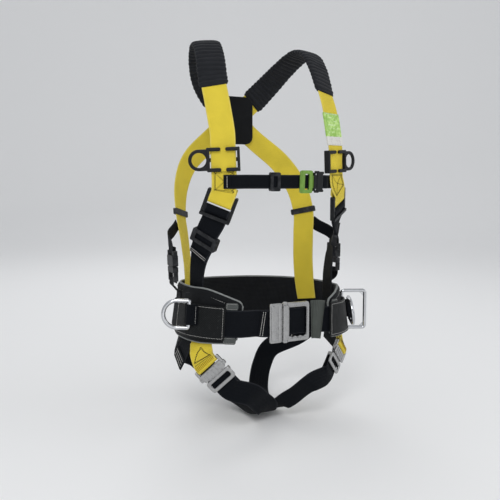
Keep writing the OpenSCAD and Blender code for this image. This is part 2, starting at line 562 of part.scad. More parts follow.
shoulder_strap_right();
shoulder_strap_left();
shoulder_pad_right();
shoulder_pad_left();
label_sleeve();
dorsal_backing();
dorsal_plate();
dorsal_ring();
hook_hanger_right();
hook_hanger_left();
chest_strap_long();
chest_strap_short();
chest_keeper();
chest_tongue();
chest_socket();
chest_release_upper();
chest_release_lower();
torso_strap_right();
torso_strap_left();
torso_adjuster_right();
torso_adjuster_left();
torso_slide_bar_right();
torso_slide_bar_left();
torso_keeper_right();
torso_keeper_left();
back_slider_right();
back_slider_left();
link_webbing_right();
link_webbing_left();
link_socket_right();
link_socket_left();
link_plug_right();
link_plug_left();
waist_pad();
pad_corner_tabs();
belt_webbing();
belt_keeper_left();
ring_patch_right();
ring_patch_left();
side_ring_right();
side_ring_left();
square_ring();
waist_tongue();
waist_frame();
waist_slide_bar();
waist_release_upper();
waist_release_lower();
leg_tab_right();
leg_tab_left();
leg_socket_right();
leg_socket_left();
leg_tongue_right();
leg_tongue_left();
leg_lever_front_right();
leg_lever_front_left();
leg_lever_rear_right();
leg_lever_rear_left();
leg_strap_right();
leg_strap_left();
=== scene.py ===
# Looks of a full-body safety harness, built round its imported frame.
# Lengths are millimetres until a mesh is made, when MM turns them into metres.
from collections import namedtuple
from math import copysign, cos, exp, hypot, pi, radians, sin, sqrt

import bmesh
import bpy
from mathutils import Matrix, Vector, noise


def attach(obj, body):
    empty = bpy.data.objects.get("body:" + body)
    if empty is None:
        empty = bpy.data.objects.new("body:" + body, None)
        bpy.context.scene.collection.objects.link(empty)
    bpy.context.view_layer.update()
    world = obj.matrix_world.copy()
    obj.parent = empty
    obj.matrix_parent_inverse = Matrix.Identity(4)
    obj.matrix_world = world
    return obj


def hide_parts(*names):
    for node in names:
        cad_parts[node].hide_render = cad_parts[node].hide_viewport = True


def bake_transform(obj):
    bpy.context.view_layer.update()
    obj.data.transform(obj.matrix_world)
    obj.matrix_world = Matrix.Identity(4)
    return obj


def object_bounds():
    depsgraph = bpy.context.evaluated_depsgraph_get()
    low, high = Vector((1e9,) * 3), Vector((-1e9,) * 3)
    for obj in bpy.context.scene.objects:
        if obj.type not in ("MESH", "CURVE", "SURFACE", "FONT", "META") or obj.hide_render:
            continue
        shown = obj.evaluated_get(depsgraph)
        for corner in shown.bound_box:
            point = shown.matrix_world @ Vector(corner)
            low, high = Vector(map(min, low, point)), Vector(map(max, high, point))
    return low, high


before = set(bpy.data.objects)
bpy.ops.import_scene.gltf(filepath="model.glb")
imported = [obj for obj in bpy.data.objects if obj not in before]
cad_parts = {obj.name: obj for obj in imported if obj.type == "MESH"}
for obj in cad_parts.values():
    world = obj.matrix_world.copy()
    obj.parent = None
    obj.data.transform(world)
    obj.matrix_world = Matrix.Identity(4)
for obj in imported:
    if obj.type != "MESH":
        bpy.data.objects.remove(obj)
CAD_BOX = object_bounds()
MM = 0.001

# ---------- Camera, light and floor ----------

CAMERA_AT = Vector((-0.6103, -1.1478, 0.255))
CAMERA_PITCH = 5.7
CAMERA_YAW = 27.07


def make_camera():
    data = bpy.data.cameras.new("camera")
    data.lens = 46.8
    data.sensor_width = 36
    camera = bpy.data.objects.new("camera", data)
    camera.location = CAMERA_AT
    camera.rotation_euler = (radians(90 - CAMERA_PITCH), 0, -radians(CAMERA_YAW))
    bpy.context.scene.collection.objects.link(camera)
    bpy.context.scene.camera = camera


def make_light(name, place, size, power, aim=(0, 0, 0.15)):
    data = bpy.data.lights.new(name, "AREA")
    data.shape = "DISK"
    data.size = size
    data.energy = power
    light = bpy.data.objects.new(name, data)
    light.location = place
    light.rotation_euler = (Vector(aim) - Vector(place)).to_track_quat("-Z", "Y").to_euler()
    bpy.context.scene.collection.objects.link(light)


def make_studio():
    make_light("key", (-1.3, -1.9, 1.9), 1.4, 27)
    make_light("fill", (1.9, -1.4, 1.0), 1.6, 8)
    make_light("rim", (0.6, 2.0, 1.7), 1.6, 13)
    make_light("low", (-0.6, -1.6, -0.1), 1.2, 2.5)
    world = bpy.data.worlds.new("studio")
    bpy.context.scene.world = world
    world.use_nodes = True
    world.node_tree.nodes["Background"].inputs["Color"].default_value = (0.92, 0.94, 0.97, 1)
    world.node_tree.nodes["Background"].inputs["Strength"].default_value = 0.62
    bpy.context.scene.view_settings.view_transform = "Standard"
    floor_z = CAD_BOX[0].z - 0.012
    sweep_back = [(-4.0, 0.0), (2.4, 0.0), (3.0, 0.12), (3.35, 0.5), (3.5, 1.2), (3.5, 4.0)]
    mesh = bpy.data.meshes.new("floor")
    points = [Vector((x, y, floor_z + z)) for y, z in sweep_back for x in (-5, 5)]
    faces = [(2 * i, 2 * i + 1, 2 * i + 3, 2 * i + 2) for i in range(len(sweep_back) - 1)]
    mesh.from_pydata(points, [], faces)
    mesh.polygons.foreach_set("use_smooth", [True] * len(mesh.polygons))
    floor = bpy.data.objects.new("floor", mesh)
    turn = floor.modifiers.new("round", "SUBSURF")
    turn.levels = 2
    turn.render_levels = 2
    floor.rotation_euler = (0, 0, -radians(CAMERA_YAW))
    bpy.context.scene.collection.objects.link(floor)
    material = bpy.data.materials.new("floor")
    material.use_nodes = True
    shader = material.node_tree.nodes["Principled BSDF"]
    shader.inputs["Base Color"].default_value = (0.86, 0.86, 0.86, 1)
    shader.inputs["Roughness"].default_value = 0.8
    mesh.materials.append(material)


# ---------- Material nodes ----------


class Value:
    """A socket of a material. Arithmetic on it adds math nodes."""

    def __init__(self, shade, socket):
        self.shade = shade
        self.socket = socket

    def math(self, operation, other=0.0):
        return self.shade.node("ShaderNodeMath", 0, {0: self, 1: other}, operation=operation)

    def __add__(self, other):
        return self.math("ADD", other)

    def __sub__(self, other):
        return self.math("SUBTRACT", other)

    def __mul__(self, other):
        return self.math("MULTIPLY", other)

    def __pow__(self, other):
        return self.math("POWER", other)

    def __abs__(self):
        return self.math("ABSOLUTE")

    def ramp(self, low, high):
        """0 below low, 1 above high, smooth between."""
        return self.shade.node("ShaderNodeMapRange", 0, {0: self, 1: low, 2: high}, interpolation_type="SMOOTHSTEP")

    def wave(self, period):
        return (self * (2 * pi / period)).math("SINE") * 0.5 + 0.5


class Shade:
    """A material whose nodes are written as short expressions."""

    def __init__(self, name, roughness, metallic=0.0, specular=0.5):
        self.material = bpy.data.materials.new(name)
        self.material.use_nodes = True
        self.tree = self.material.node_tree
        self.shader = self.tree.nodes["Principled BSDF"]
        self.give({"Roughness": roughness, "Metallic": metallic, "Specular IOR Level": specular})

    def put(self, socket, value):
        if isinstance(value, Value):
            self.tree.links.new(value.socket, socket)
        else:
            socket.default_value = (*value, 1.0) if socket.type == "RGBA" else value

    def give(self, inputs):
        """Sets inputs of the shader, each to a constant or to the output of a node."""
        for name, value in inputs.items():
            self.put(self.shader.inputs[name], value)

    def node(self, kind, out, inputs=(), **settings):
        made = self.tree.nodes.new(kind)
        for key, value in settings.items():
            setattr(made, key, value)
        for key, value in dict(inputs).items():
            self.put(made.inputs[key], value)
        return Value(self, made.outputs[out])

    def mix(self, amount, a, b):
        return self.node("ShaderNodeMix", 2, {0: amount, 6: a, 7: b}, data_type="RGBA")

    def shaded(self, tone, value):
        return self.node("ShaderNodeHueSaturation", 0, {"Color": tone, "Value": value})

    def place(self):
        return self.node("ShaderNodeTexCoord", "Object")

    def across_and_along(self):
        """Position on a swept piece, in millimetres across it and along it."""
        uv = self.node("ShaderNodeUVMap", 0, uv_map="sweep")
        return [self.node("ShaderNodeSeparateXYZ", axis, {0: uv}) * 1000.0 for axis in (0, 1)]

    def noise(self, size, detail=2.0, roughness=0.5, where=None):
        """Noise whose blobs are about size millimetres wide."""
        return self.node("ShaderNodeTexNoise", 0, {"Vector": where or self.place(), "Scale": 1000.0 / size,
                                                   "Detail": detail, "Roughness": roughness})

    def edges(self, low, high):
        """1 on outer edges, which rub."""
        return self.node("ShaderNodeNewGeometry", "Pointiness").ramp(low, high)

    def finish(self, tone, height, depth, strength, inputs=()):
        """Connects the colour, a bump of depth millimetres and any other inputs."""
        normal = self.node("ShaderNodeBump", 0, {"Height": height, "Distance": depth * MM, "Strength": strength})
        self.give({"Base Color": tone, "Normal": normal, **dict(inputs)})
        return self.material


def scaled(colour, factor):
    return tuple(factor * c for c in colour)


def webbing(name, light, dark, edge, half, rib=1.7, depth=0.22, gloss=0.06):
    """Herringbone webbing whose selvage starts 2 mm from each side, with painted sheen in large soft patches."""
    shade = Shade(name, 0.62, specular=gloss)
    across, along = shade.across_and_along()
    lines = ((across + 100.0).math("PINGPONG", 3.6) * 1.3 + along).wave(rib)
    selvage = abs(across).ramp(half - 2.6, half - 1.8)
    picks = along.wave(1.3)
    weave = shade.mix(selvage, lines ** 0.6 * (across.wave(1.8) * 0.35 + 0.65), picks)
    fibre = shade.noise(0.35, 3.0)
    body = shade.mix(weave.ramp(0.05, 0.75), dark, light)
    rim = shade.mix(picks.ramp(0.55, 0.9) * 0.8, body, edge)
    # Large soft patches made brighter and darker in the colour: painted sheen.
    tone = shade.shaded(shade.mix(selvage, body, rim), shade.noise(38.0, 3.0) * 0.34 + 0.83)
    return shade.finish(tone, weave + fibre * 0.35, depth, 0.9, {
        "Roughness": fibre * 0.25 + 0.5, "Sheen Weight": 0.02, "Sheen Roughness": 0.45})


def cloth(name, light, dark, pitch, depth, sheen):
    """Plain-weave or knitted fabric on a swept piece."""
    shade = Shade(name, 0.75, specular=0.1)
    across, along = shade.across_and_along()
    amount = across.wave(pitch) * along.wave(pitch) * 0.6 + shade.noise(0.5, 4.0, 0.65) * 0.55
    tone = shade.shaded(shade.mix(amount.ramp(0.1, 0.8), dark, light), shade.noise(22.0, 4.0) * 0.7 + 0.65)
    return shade.finish(tone, amount, depth, 0.9, {"Sheen Weight": sheen})


def grid_cloth():
    """Coarse woven patch: raised squares between darker channels, with paler blotches that are partly wear and partly
    painted sparkle.
    """
    shade = Shade("patch_weave", 0.5, specular=0.12)
    across, along = shade.across_and_along()
    cells = (across + along).wave(3.4) * (across - along).wave(3.4)
    tone = shade.mix(cells.ramp(0.15, 0.8), (0.0015, 0.0018, 0.002), (0.022, 0.025, 0.027))
    # Paler blotches: partly wear, partly painted sparkle (painted highlight).
    tone = shade.mix(shade.noise(9.0, 5.0, 0.7).ramp(0.55, 0.75) * 0.35, tone, (0.07, 0.075, 0.075))
    return shade.finish(tone, shade.noise(0.6, 3.0) * 0.25 + cells, 0.45, 0.9, {"Sheen Weight": 0.04})


def leather(name, colour):
    shade = Shade(name, 0.42, specular=0.45)
    grain = shade.node("ShaderNodeTexVoronoi", 0, {"Vector": shade.place(), "Scale": 1100.0},
                       feature="DISTANCE_TO_EDGE")
    soft = shade.noise(3.0, 4.0)
    crease = grain.ramp(0.0, 0.2)
    tone = shade.mix(crease * (soft * 0.6 + 0.6), scaled(colour, 0.45), colour)
    return shade.finish(tone, soft * 0.5 + crease, 0.16, 0.8, {"Roughness": soft * 0.35 + 0.3})


def printed_label():
    """Green tape with a pale strip near its lower end: plain generic bars, no lettering."""
    shade = Shade("label_print", 0.38, specular=0.5)
    across, along = shade.across_and_along()
    cloudy = shade.noise(6.0, 3.0)
    inside = abs(across).math("LESS_THAN", 17.0)
    green = shade.mix(cloudy.ramp(0.35, 0.7), (0.24, 0.47, 0.05), (0.50, 0.73, 0.22))
    ink = along.wave(3.0).ramp(0.72, 0.8) * shade.noise(2.2, 0.0).ramp(0.5, 0.56) * inside
    strip = shade.mix(ink * 0.75, (0.66, 0.65, 0.61), (0.30, 0.24, 0.28))
    mark = along.wave(7.0).ramp(0.80, 0.86) * shade.noise(4.5, 0.0).ramp(0.50, 0.55) * inside
    top = shade.mix(mark * 0.55, green, (0.70, 0.82, 0.55))
    tone = shade.mix(along.ramp(45.0, 45.6), top, strip)
    return shade.finish(tone, along.wave(0.9) * 0.5 + cloudy, 0.08, 0.6, {"Coat Weight": 0.25})


def ribbed_tape(name, light, dark):
    """Stiff tape with ribs along it."""
    shade = Shade(name, 0.55, specular=0.4)
    across, along = shade.across_and_along()
    amount = across.wave(1.2) * 0.3 + along.wave(2.6) * 0.7
    tone = shade.shaded(shade.mix(amount, dark, light), shade.noise(14.0, 4.0) * 0.7 + 0.65)
    return shade.finish(tone, shade.noise(0.7, 3.0) * 0.3 + amount, 0.3, 0.8, {"Sheen Weight": 0.05})


def plastic(name, colour, worn):
    """Moulded plastic: fine spark grain, dull scuffs, paler where edges rub."""
    shade = Shade(name, 0.42, specular=0.22)
    scuff = shade.noise(11.0, 6.0, 0.7)
    rub = shade.edges(0.52, 0.62) * scuff.ramp(0.4, 0.65)
    base = shade.mix(scuff.ramp(0.45, 0.8), colour, scaled(colour, 1.5))
    return shade.finish(shade.mix(rub * 0.6, base, worn), scuff * 0.5 + shade.noise(0.45), 0.06, 0.7,
                        {"Roughness": scuff * 0.4 + 0.22})


def steel(name, colour, roughness, streak, scratch=0.5):
    """Metal with fine streaks along one axis and scattered handling marks."""
    shade = Shade(name, roughness, metallic=1.0)
    where = shade.node("ShaderNodeMapping", 0, {"Vector": shade.place(), "Scale": streak})
    lines = shade.noise(0.5, 5.0, 0.7, where)
    blotch = shade.noise(8.0, 4.0)
    marks = shade.noise(2.2, 8.0, 0.8)
    tone = shade.mix(blotch.ramp(0.3, 0.75), scaled(colour, 0.88), colour)
    tone = shade.mix(marks.ramp(0.62, 0.78) * (0.22 * scratch), tone, scaled(colour, 0.45))
    uneven = (lines + blotch) * 0.12 + (roughness - 0.11)
    return shade.finish(tone, marks * 0.3 + lines, 0.025, 0.5 * scratch, {"Roughness": uneven.math("MAXIMUM", 0.06)})


def painted(name, colour, bare):
    """Green coating over metal, thin at the edges."""
    shade = Shade(name, 0.34, metallic=0.35)
    scuff = shade.noise(7.0, 6.0, 0.75)
    chip = shade.edges(0.53, 0.63) * scuff.ramp(0.45, 0.6)
    tone = shade.mix(scuff.ramp(0.3, 0.8), scaled(colour, 0.8), scaled(colour, 1.15))
    return shade.finish(shade.mix(chip * 0.7, tone, bare), scuff * 0.6 + shade.noise(1.2, 4.0), 0.05, 0.6, {
        "Roughness": scuff * 0.3 + 0.2, "Coat Weight": 0.3, "Coat Roughness": 0.2})


def thread(name, light, dark):
    shade = Shade(name, 0.6, specular=0.3)
    twist = shade.noise(0.5)
    return shade.finish(shade.mix(twist.ramp(0.35, 0.65), dark, light), twist, 0.1, 0.8)


BLACK = ((0.006, 0.0075, 0.0105), (0.001, 0.0012, 0.002), (0.05, 0.053, 0.062))
MATERIALS = {
    "yellow": webbing("yellow_weave", (0.80, 0.64, 0.055), (0.50, 0.37, 0.02), (0.86, 0.76, 0.24), 22.5,
                      gloss=0.25),
    "black": webbing("black_weave", *BLACK, 22.5),
    "black_narrow": webbing("black_narrow_weave", *BLACK, 12.5, rib=1.4),
    "belt": webbing("belt_weave", *BLACK, 25.0, rib=2.1, depth=0.3),
    "sleeve": cloth("sleeve_knit", (0.026, 0.028, 0.033), (0.005, 0.0055, 0.007), 0.9, 0.15, 0.07),
    "pad": cloth("pad_cloth", (0.012, 0.013, 0.015), (0.002, 0.0024, 0.003), 1.6, 0.2, 0.06),
    "lining": cloth("lining_mesh", (0.020, 0.022, 0.025), (0.002, 0.002, 0.003), 3.0, 0.5, 0.06),
    "patch": grid_cloth(),
    "piping": leather("piping_cord", (0.27, 0.285, 0.28)),
    "leather": leather("tab_hide", (0.075, 0.084, 0.081)),
    "keeper": ribbed_tape("keeper_tape", (0.060, 0.070, 0.060), (0.018, 0.022, 0.019)),
    "label": printed_label(),
    "plastic": plastic("black_moulding", (0.008, 0.009, 0.0105), (0.06, 0.06, 0.066)),
    "green": painted("green_coat", (0.17, 0.33, 0.045), (0.50, 0.52, 0.46)),
    "buckle": steel("buckle_steel", (0.43, 0.43, 0.43), 0.27, (0.35, 1.0, 1.0)),
    "ring": steel("ring_steel", (0.58, 0.59, 0.61), 0.12, (1.0, 1.0, 0.3), 0.6),
    "tongue": steel("tongue_steel", (0.56, 0.56, 0.56), 0.22, (1.0, 0.4, 1.0)),
    "black_thread": thread("black_thread", (0.016, 0.013, 0.011), (0.005, 0.004, 0.004)),
    "yellow_thread": thread("yellow_thread", (0.55, 0.38, 0.02), (0.20, 0.13, 0.005)),
    "white_thread": thread("white_thread", (0.72, 0.71, 0.68), (0.45, 0.44, 0.42)),
}

# ---------- The wearer's outline and the strap routes ----------

Point = namedtuple("Point", "p n w")
Seat = namedtuple("Seat", "p u v w")
WEB, WEB_T = 45.0, 1.8
CHEST_W, CHEST_T = 25.0, 1.4
BELT_W, BELT_T = 50.0, 2.4
BODY = [
    (-180, 169, 78, 118), (-120, 172, 90, 128), (-60, 166, 98, 122),
    (0, 150, 100, 108), (60, 146, 98, 98), (130, 148, 98, 98),
    (200, 162, 106, 106), (260, 174, 113, 112), (330, 178, 112, 116),
    (390, 176, 98, 116), (440, 170, 76, 108)]
SQUARENESS = 2.3
LAYER = WEB_T + 0.7
TURN_R = 2.5 + WEB_T / 2 + 0.4
PAD_T = 10.0
PAD_IN = 13.0
PAD_MID = PAD_IN + PAD_T / 2
BELT_OFF = PAD_IN + PAD_T + 2 + BELT_T / 2
PATCH_T = 3.0
PATCH_OFF = BELT_OFF + BELT_T / 2 + 0.4 + PATCH_T / 2
RING_WIRE = 3.8
RING_OFF = PATCH_OFF + PATCH_T / 2 + RING_WIRE + 3
CHEST_Z = 261
CHEST_TURN = 2.9
BELT_TURN = 4.2


def lookup(x, table):
    if x <= table[0][0]:
        return table[0][1]
    for (x0, y0), (x1, y1) in zip(table, table[1:]):
        if x <= x1:
            return y0 + (y1 - y0) * (x - x0) / (x1 - x0)
    return table[-1][1]


def girth(z, column):
    return lookup(z, [(row[0], row[column]) for row in BODY])


def power(value, exponent):
    return copysign(abs(value) ** exponent, value)


def on(angle, z, off, width=WEB):
    """Point at angle degrees round from the wearer's front, at height z, off from the body."""
    side, ahead = sin(radians(angle)), cos(radians(angle))
    depth = 2 if ahead > 0 else 3
    rx, ry = girth(z, 1) + off, girth(z, depth) + off
    x = rx * power(side, 2 / SQUARENESS)
    y = -ry * power(ahead, 2 / SQUARENESS)
    slope_x = (girth(z + 20, 1) - girth(z - 20, 1)) / 40
    slope_y = (girth(z + 20, depth) - girth(z - 20, depth)) / 40
    lean_out = abs(x / rx) ** SQUARENESS * slope_x / rx + abs(y / ry) ** SQUARENESS * slope_y / ry
    normal = Vector((power(x / rx, SQUARENESS - 1) / rx, power(y / ry, SQUARENESS - 1) / ry, -lean_out))
    return Point(Vector((x, y, z)), normal.normalized(), width)


def free(x, y, z, nx, ny, nz, width=WEB):
    return Point(Vector((x, y, z)), Vector((nx, ny, nz)), width)


def flip(point):
    return Point(point.p, -point.n, point.w)


def moved_in(point, by):
    return Point(point.p - by * point.n, point.n, point.w)


def mirrored(point):
    p, n, w = point
    return Point(Vector((-p.x, p.y, p.z)), Vector((-n.x, n.y, n.z)), w)


def left(route):
    return [mirrored(point) for point in route]


def seat(origin, start, end):
    along = (end.p - start.p).normalized()
    across = along.cross(origin.n).normalized()
    return Seat(origin.p, across, along, across.cross(along))


def rel(f, u, v, w, turn=0, width=WEB):
    normal = f.w * cos(radians(turn)) + f.v * sin(radians(turn))
    return Point(f.p + u * f.u + v * f.v + w * f.w, normal, width)


def seated(f, width, *places):
    """Points of a strap in a seat, each (along, outward, turn)."""
    return [rel(f, 0, v, w, turn, width) for v, w, turn in places]


def hairpin(f, v, w, r, way, width=WEB):
    """Half turn of a strap round a bar at (v, w), over the bar's +v side (way 1) or -v side (way -1)."""
    turns = range(0, 181, 45)
    return seated(f, width, *[(v + way * r * sin(radians(t)), w + r * cos(radians(t)), way * t) for t in turns])


def round_waist(angle, dz, off, width=BELT_W):
    return on(angle, dz - 8 * sin(radians(angle)), off, width)


def front(lean, z):
    return -40 + lean * lookup(z, [(240, 2), (261, 5), (300, 7), (350, 8)])


def strap_seat(angle, z, off, low, high):
    return seat(on(angle, z, off), on(low[0], low[1], off), on(high[0], high[1], off))


def hanger_seat(lean):
    return strap_seat(front(lean, 300), 300, 7, (front(lean, 285), 285), (front(lean, 315), 315))


def chest_side(lean):
    a = front(lean, CHEST_Z)
    return strap_seat(a, CHEST_Z, 8.2, (a - 4, CHEST_Z), (a + 4, CHEST_Z))


def ring_seat(a, dz, off):
    return seat(round_waist(a, dz, off), round_waist(a, dz - 20, off), round_waist(a, dz + 20, off))


ADJUSTER = strap_seat(-46, 218, 5.5, (-50, 200), (-42, 238))
KEEPER = strap_seat(-63, 156, 6, (-67, 143), (-59, 169))
BACK_SLIDER = strap_seat(125, 200, 8, (122, 150), (135, 255))
LINK = strap_seat(-93, 103, 36, (-93, 78), (-93, 128))
CHEST = strap_seat(11, CHEST_Z, 12, (5, CHEST_Z), (17, CHEST_Z))
CHEST_KEEPER = strap_seat(-8.6, CHEST_Z, 8, (-14, CHEST_Z), (-4, CHEST_Z))
WAIST = strap_seat(0, 0, 15, (-6, 0), (6, 0))
LEG = strap_seat(-44.8, -92.6, 12, (-36.8, -110.6), (-52.8, -74.6))
RING_RIGHT = ring_seat(-70, 12, RING_OFF)
RING_LEFT = ring_seat(69, 8, RING_OFF + 2)
SQUARE_BAR = round_waist(88, -2, RING_OFF + 3)
RING_SQUARE = seat(SQUARE_BAR, SQUARE_BAR, Point(SQUARE_BAR.p + Vector((0, 0, 1)), SQUARE_BAR.n, 0))
DORSAL_Z = 395
DORSAL_Y = girth(DORSAL_Z, 3) + 21.5


def shoulder_route(lift, lean):
    """Rear hip, up the back and across it, over the other shoulder, down to the torso adjuster and back."""
    return [
        on(114, 8, 3.4), on(116, 30, 4), on(118, 60, 5), on(120, 100, 6), on(122, 150, 8), on(125, 200, 8),
        on(135, 255, 8), on(149, 305, 8 + lift), free(50, 124 + lift, 352, 0, 1, 0),
        free(0, 124 + lift, 394, 0, 1, 0), free(-46, 124 + lift, 433, -0.04, 1, 0.04),
        free(-76, 106 + lift, 468, -0.15, 0.85, 0.45), free(-96 + 2 * lean, 70, 500, -0.15, 0.5, 0.85),
        free(-110 + 6 * lean, 28, 519, -0.12, 0.15, 0.98), free(-119 + 13 * lean, -10, 514, -0.15, -0.3, 0.93),
        free(-126 + 22 * lean, -42, 484, -0.25, -0.7, 0.65),
        free(-130 + 29 * lean, -62 - 6 * lean, 444, -0.38 + 0.06 * lean, -0.82, 0.35),
        free(-129 + 27 * lean, -79 - 10 * lean, 400, -0.42 + 0.1 * lean, -0.87, 0.2),
        on(front(lean, 350), 350, 6.5), on(front(lean, 325), 325, 7), on(front(lean, 300), 300, 7),
        on(front(lean, 278), 278, 7.4), on(front(lean, CHEST_Z), CHEST_Z, 8.2),
        ] + seated(ADJUSTER, WEB, (27, TURN_R + 0.4, 0), (15, TURN_R, 0)) + hairpin(ADJUSTER, 5, 0, TURN_R, -1) + (
        seated(ADJUSTER, WEB, (15, -TURN_R, 180), (28, -TURN_R, 180), (38, -TURN_R + 0.4, 180)))


TORSO_ROUTE = [
    on(-74, 122, 7.5), on(-69, 138, 7.4), *seated(KEEPER, WEB, (-10, 1.3, 0), (2, 1.3, 0), (16, 1.6, 0)),
    *seated(ADJUSTER, WEB, (-32, 1.2, 0), (-24, 0.6, 0), (-18.5, 1.4, 0), (-14, 4.5, 0)),
    *hairpin(ADJUSTER, -8, 0, 4.8, 1),
    *seated(ADJUSTER, WEB, (-15, -4.8, 180), (-24, -3.6, 180), (-32, -2.8, 180)),
    *seated(KEEPER, WEB, (16, -1.4, 180), (2, -1.3, 180), (-10, -1.3, 180)),
    *[flip(on(*place)) for place in (
        (-70, 136, 4.6), (-75, 118, 4), (-79, 95, 3), (-81, 65, 3), (-82, 35, 2.6), (-84, 0, 2.2),
        (-86, -30, 2), (-89, -60, 2.6), (-93, -86, 7))]]


def leg_route(tuck):
    """Rear hip, buttock, between the legs, groin, then round the anchor bar of the leg tongue."""
    return [
        on(-101, -10, 5.4), on(-106, -34, 4.6), on(-117, -58, 5.5), on(-131, -84, 6.5),
        free(-92, 122, -112, -0.3, 0.95, -0.1), free(-62, 110, -146, -0.1, 0.93, -0.35),
        free(-36, 76, -178, 0, 0.75, -0.65), moved_in(free(-18, 34, -197, 0, 0.3, -0.95), tuck),
        moved_in(free(-12, -8, -203, 0, -0.1, -1), tuck), moved_in(free(-11, -40, -195, 0, -0.65, -0.75), tuck),
        moved_in(free(-16, -60, -180, 0, -0.95, -0.3), tuck),
        moved_in(free(-38, -75, -161, -0.08, -1, -0.12), tuck), free(-66, -89, -138 + tuck, -0.15, -1, -0.08),
        *seated(LEG, WEB, (-42, -5.5, 0), (-22, -3.8, 0)), *hairpin(LEG, -6, -7, 3.2, 1),
        *seated(LEG, WEB, (-24, -10.2, 180), (-44, -10.8, 180))]


def tab_route(top):
    """Down from the belt, round the bar of the leg socket and back up in front, as far as the points in top."""
    return [flip(on(*place)) for place in ((-67, 6, 6), (-66, -16, 5.4), (-65, -34, 4), (-63.6, -46, 4.4))] + [
        rel(LEG, 5, 47, -12.5, 200), rel(LEG, 1.2, 39, -8.5, 205), rel(LEG, 0, 31, -TURN_R - 0.4, 185)] + list(
        reversed(hairpin(LEG, 24, 0, TURN_R, -1))) + [
        rel(LEG, 0, 31, 2.8, 5), rel(LEG, 1.2, 39, -4.4, 25), rel(LEG, 5, 47, -9.4, 20),
        rel(LEG, 8, 50.6, -11.2, 20)] + top


CHEST_LONG_ROUTE = [
    *seated(chest_side(0), CHEST_W, (-1, 3.3, 0), (24, 3.3, 0)),
    *[on(a, CHEST_Z, 9.4, CHEST_W) for a in (-26, -18, -8, 0)],
    *seated(CHEST, CHEST_W, (-32, -2.9, 0), (-18, -2.9, 0)),
    *hairpin(CHEST, -6, -2.9 - CHEST_TURN, CHEST_TURN, 1, CHEST_W), rel(CHEST, 0, -20, -8.4, 180, CHEST_W),
    *[flip(on(a, CHEST_Z, off, CHEST_W)) for a, off in ((1, 5.4), (-8, 6.6), (-19, 6.6))]]
CHEST_SHORT_ROUTE = [
    *left(seated(chest_side(1), CHEST_W, (8, -5.2, 0), (25, -4.4, 0))), rel(CHEST, 0, 36, -2.9, 0, CHEST_W),
    *hairpin(CHEST, 22, -2.9 - CHEST_TURN, CHEST_TURN, -1, CHEST_W), rel(CHEST, 0, 38, -8.7, 180, CHEST_W)]
BELT_ROUTE = [
    *seated(WAIST, BELT_W, (-58, -11.8, 180), (-42, -11.8, 180)),
    *reversed(hairpin(WAIST, -25, -3.4 - BELT_TURN, BELT_TURN, 1, BELT_W)), rel(WAIST, 0, -46, -3.4, 0, BELT_W),
    round_waist(-20, 0, 15), round_waist(-27, 0, 21), *[round_waist(a, 0, BELT_OFF) for a in range(-34, -329, -14)],
    round_waist(25, 0, 16.5), *seated(WAIST, BELT_W, (60, -3.4, 0), (44, -4.8, 0), (20, -4.8, 0)),
    *hairpin(WAIST, 3, -4.8 - BELT_TURN, BELT_TURN, -1, BELT_W),
    *seated(WAIST, BELT_W, (20, -13.2, 180), (48, -13.2, 180))]
LINK_UPPER_ROUTE = [
    *[on(*place, CHEST_W) for place in ((-116, 178, 13), (-110, 168, 20), (-100, 155, 34))],
    rel(LINK, 0, 38, 2.9, 0, CHEST_W), *hairpin(LINK, 25, 0, CHEST_TURN, -1, CHEST_W),
    rel(LINK, 0, 36, -2.9, 180, CHEST_W)]
LINK_LOWER_ROUTE = [
    on(-94, 40, 24.6, CHEST_W), on(-94, 54, 25.6, CHEST_W), rel(LINK, 0, -38, 2.9, 0, CHEST_W),
    *hairpin(LINK, -25, 0, CHEST_TURN, 1, CHEST_W), rel(LINK, 0, -33, -2.9, 180, CHEST_W)]


# ---------- Swept pieces ----------


def blend4(a, b, c, d, t):
    return b + t / 2 * ((c - a) + t * ((2 * a - 5 * b + 4 * c - d) + t * (3 * b - a - 3 * c + d)))


def smooth(route, spacing):
    """The route's points joined by a smooth curve, with stations about spacing apart."""
    made = []
    last = len(route) - 1
    for i in range(last):
        near = [route[max(i - 1, 0)], route[i], route[i + 1], route[min(i + 2, last)]]
        steps = max(1, round((route[i + 1].p - route[i].p).length / spacing))
        for k in range(steps):
            made.append(Point(*[blend4(*[q[part] for q in near], k / steps) for part in range(3)]))
    made.append(route[last])
    return made


class Ribbon:
    """A strap's centre line, with its frame at any distance along it and its soft waves."""

    def __init__(self, route, spacing=3.0, waves=0.25, seed=0.0, wave_length=26.0):
        self.points = smooth(route, spacing)
        self.waves = waves
        self.seed = seed
        self.wave_length = wave_length
        self.marks = [0.0]
        for a, b in zip(self.points, self.points[1:]):
            self.marks.append(self.marks[-1] + (b.p - a.p).length)
        self.length = self.marks[-1]
        last = len(self.points) - 1
        self.frames = []
        for i, point in enumerate(self.points):
            along = (self.points[min(i + 1, last)].p - self.points[max(i - 1, 0)].p).normalized()
            across = along.cross(point.n).normalized()
            self.frames.append((point.p, across, along, across.cross(along), point.w))

    def at(self, s):
        s = min(max(s, 0.0), self.length)
        i = 0
        while i < len(self.marks) - 2 and self.marks[i + 1] < s:
            i += 1
        t = (s - self.marks[i]) / max(self.marks[i + 1] - self.marks[i], 1e-9)
        return [a.lerp(b, t) if isinstance(a, Vector) else a + (b - a) * t
                for a, b in zip(self.frames[i], self.frames[i + 1])]

    def wave(self, s, u):
        if not self.waves:
            return 0.0
        where = Vector((s / self.wave_length, u / 34.0, self.seed))
        fine = Vector((s / 7.0, u / 11.0, self.seed + 9.0))
        return self.waves * (noise.noise(where) + 0.22 * noise.noise(fine))

    def surface(self, s, u, lift):
        p, across, along, out, width = self.at(s)
        return p + u * across + (lift + self.wave(s, u)) * out

    def nearest(self, target):
        best = min(range(len(self.points)), key=lambda i: (self.points[i].p - target).length)
        return self.marks[best]


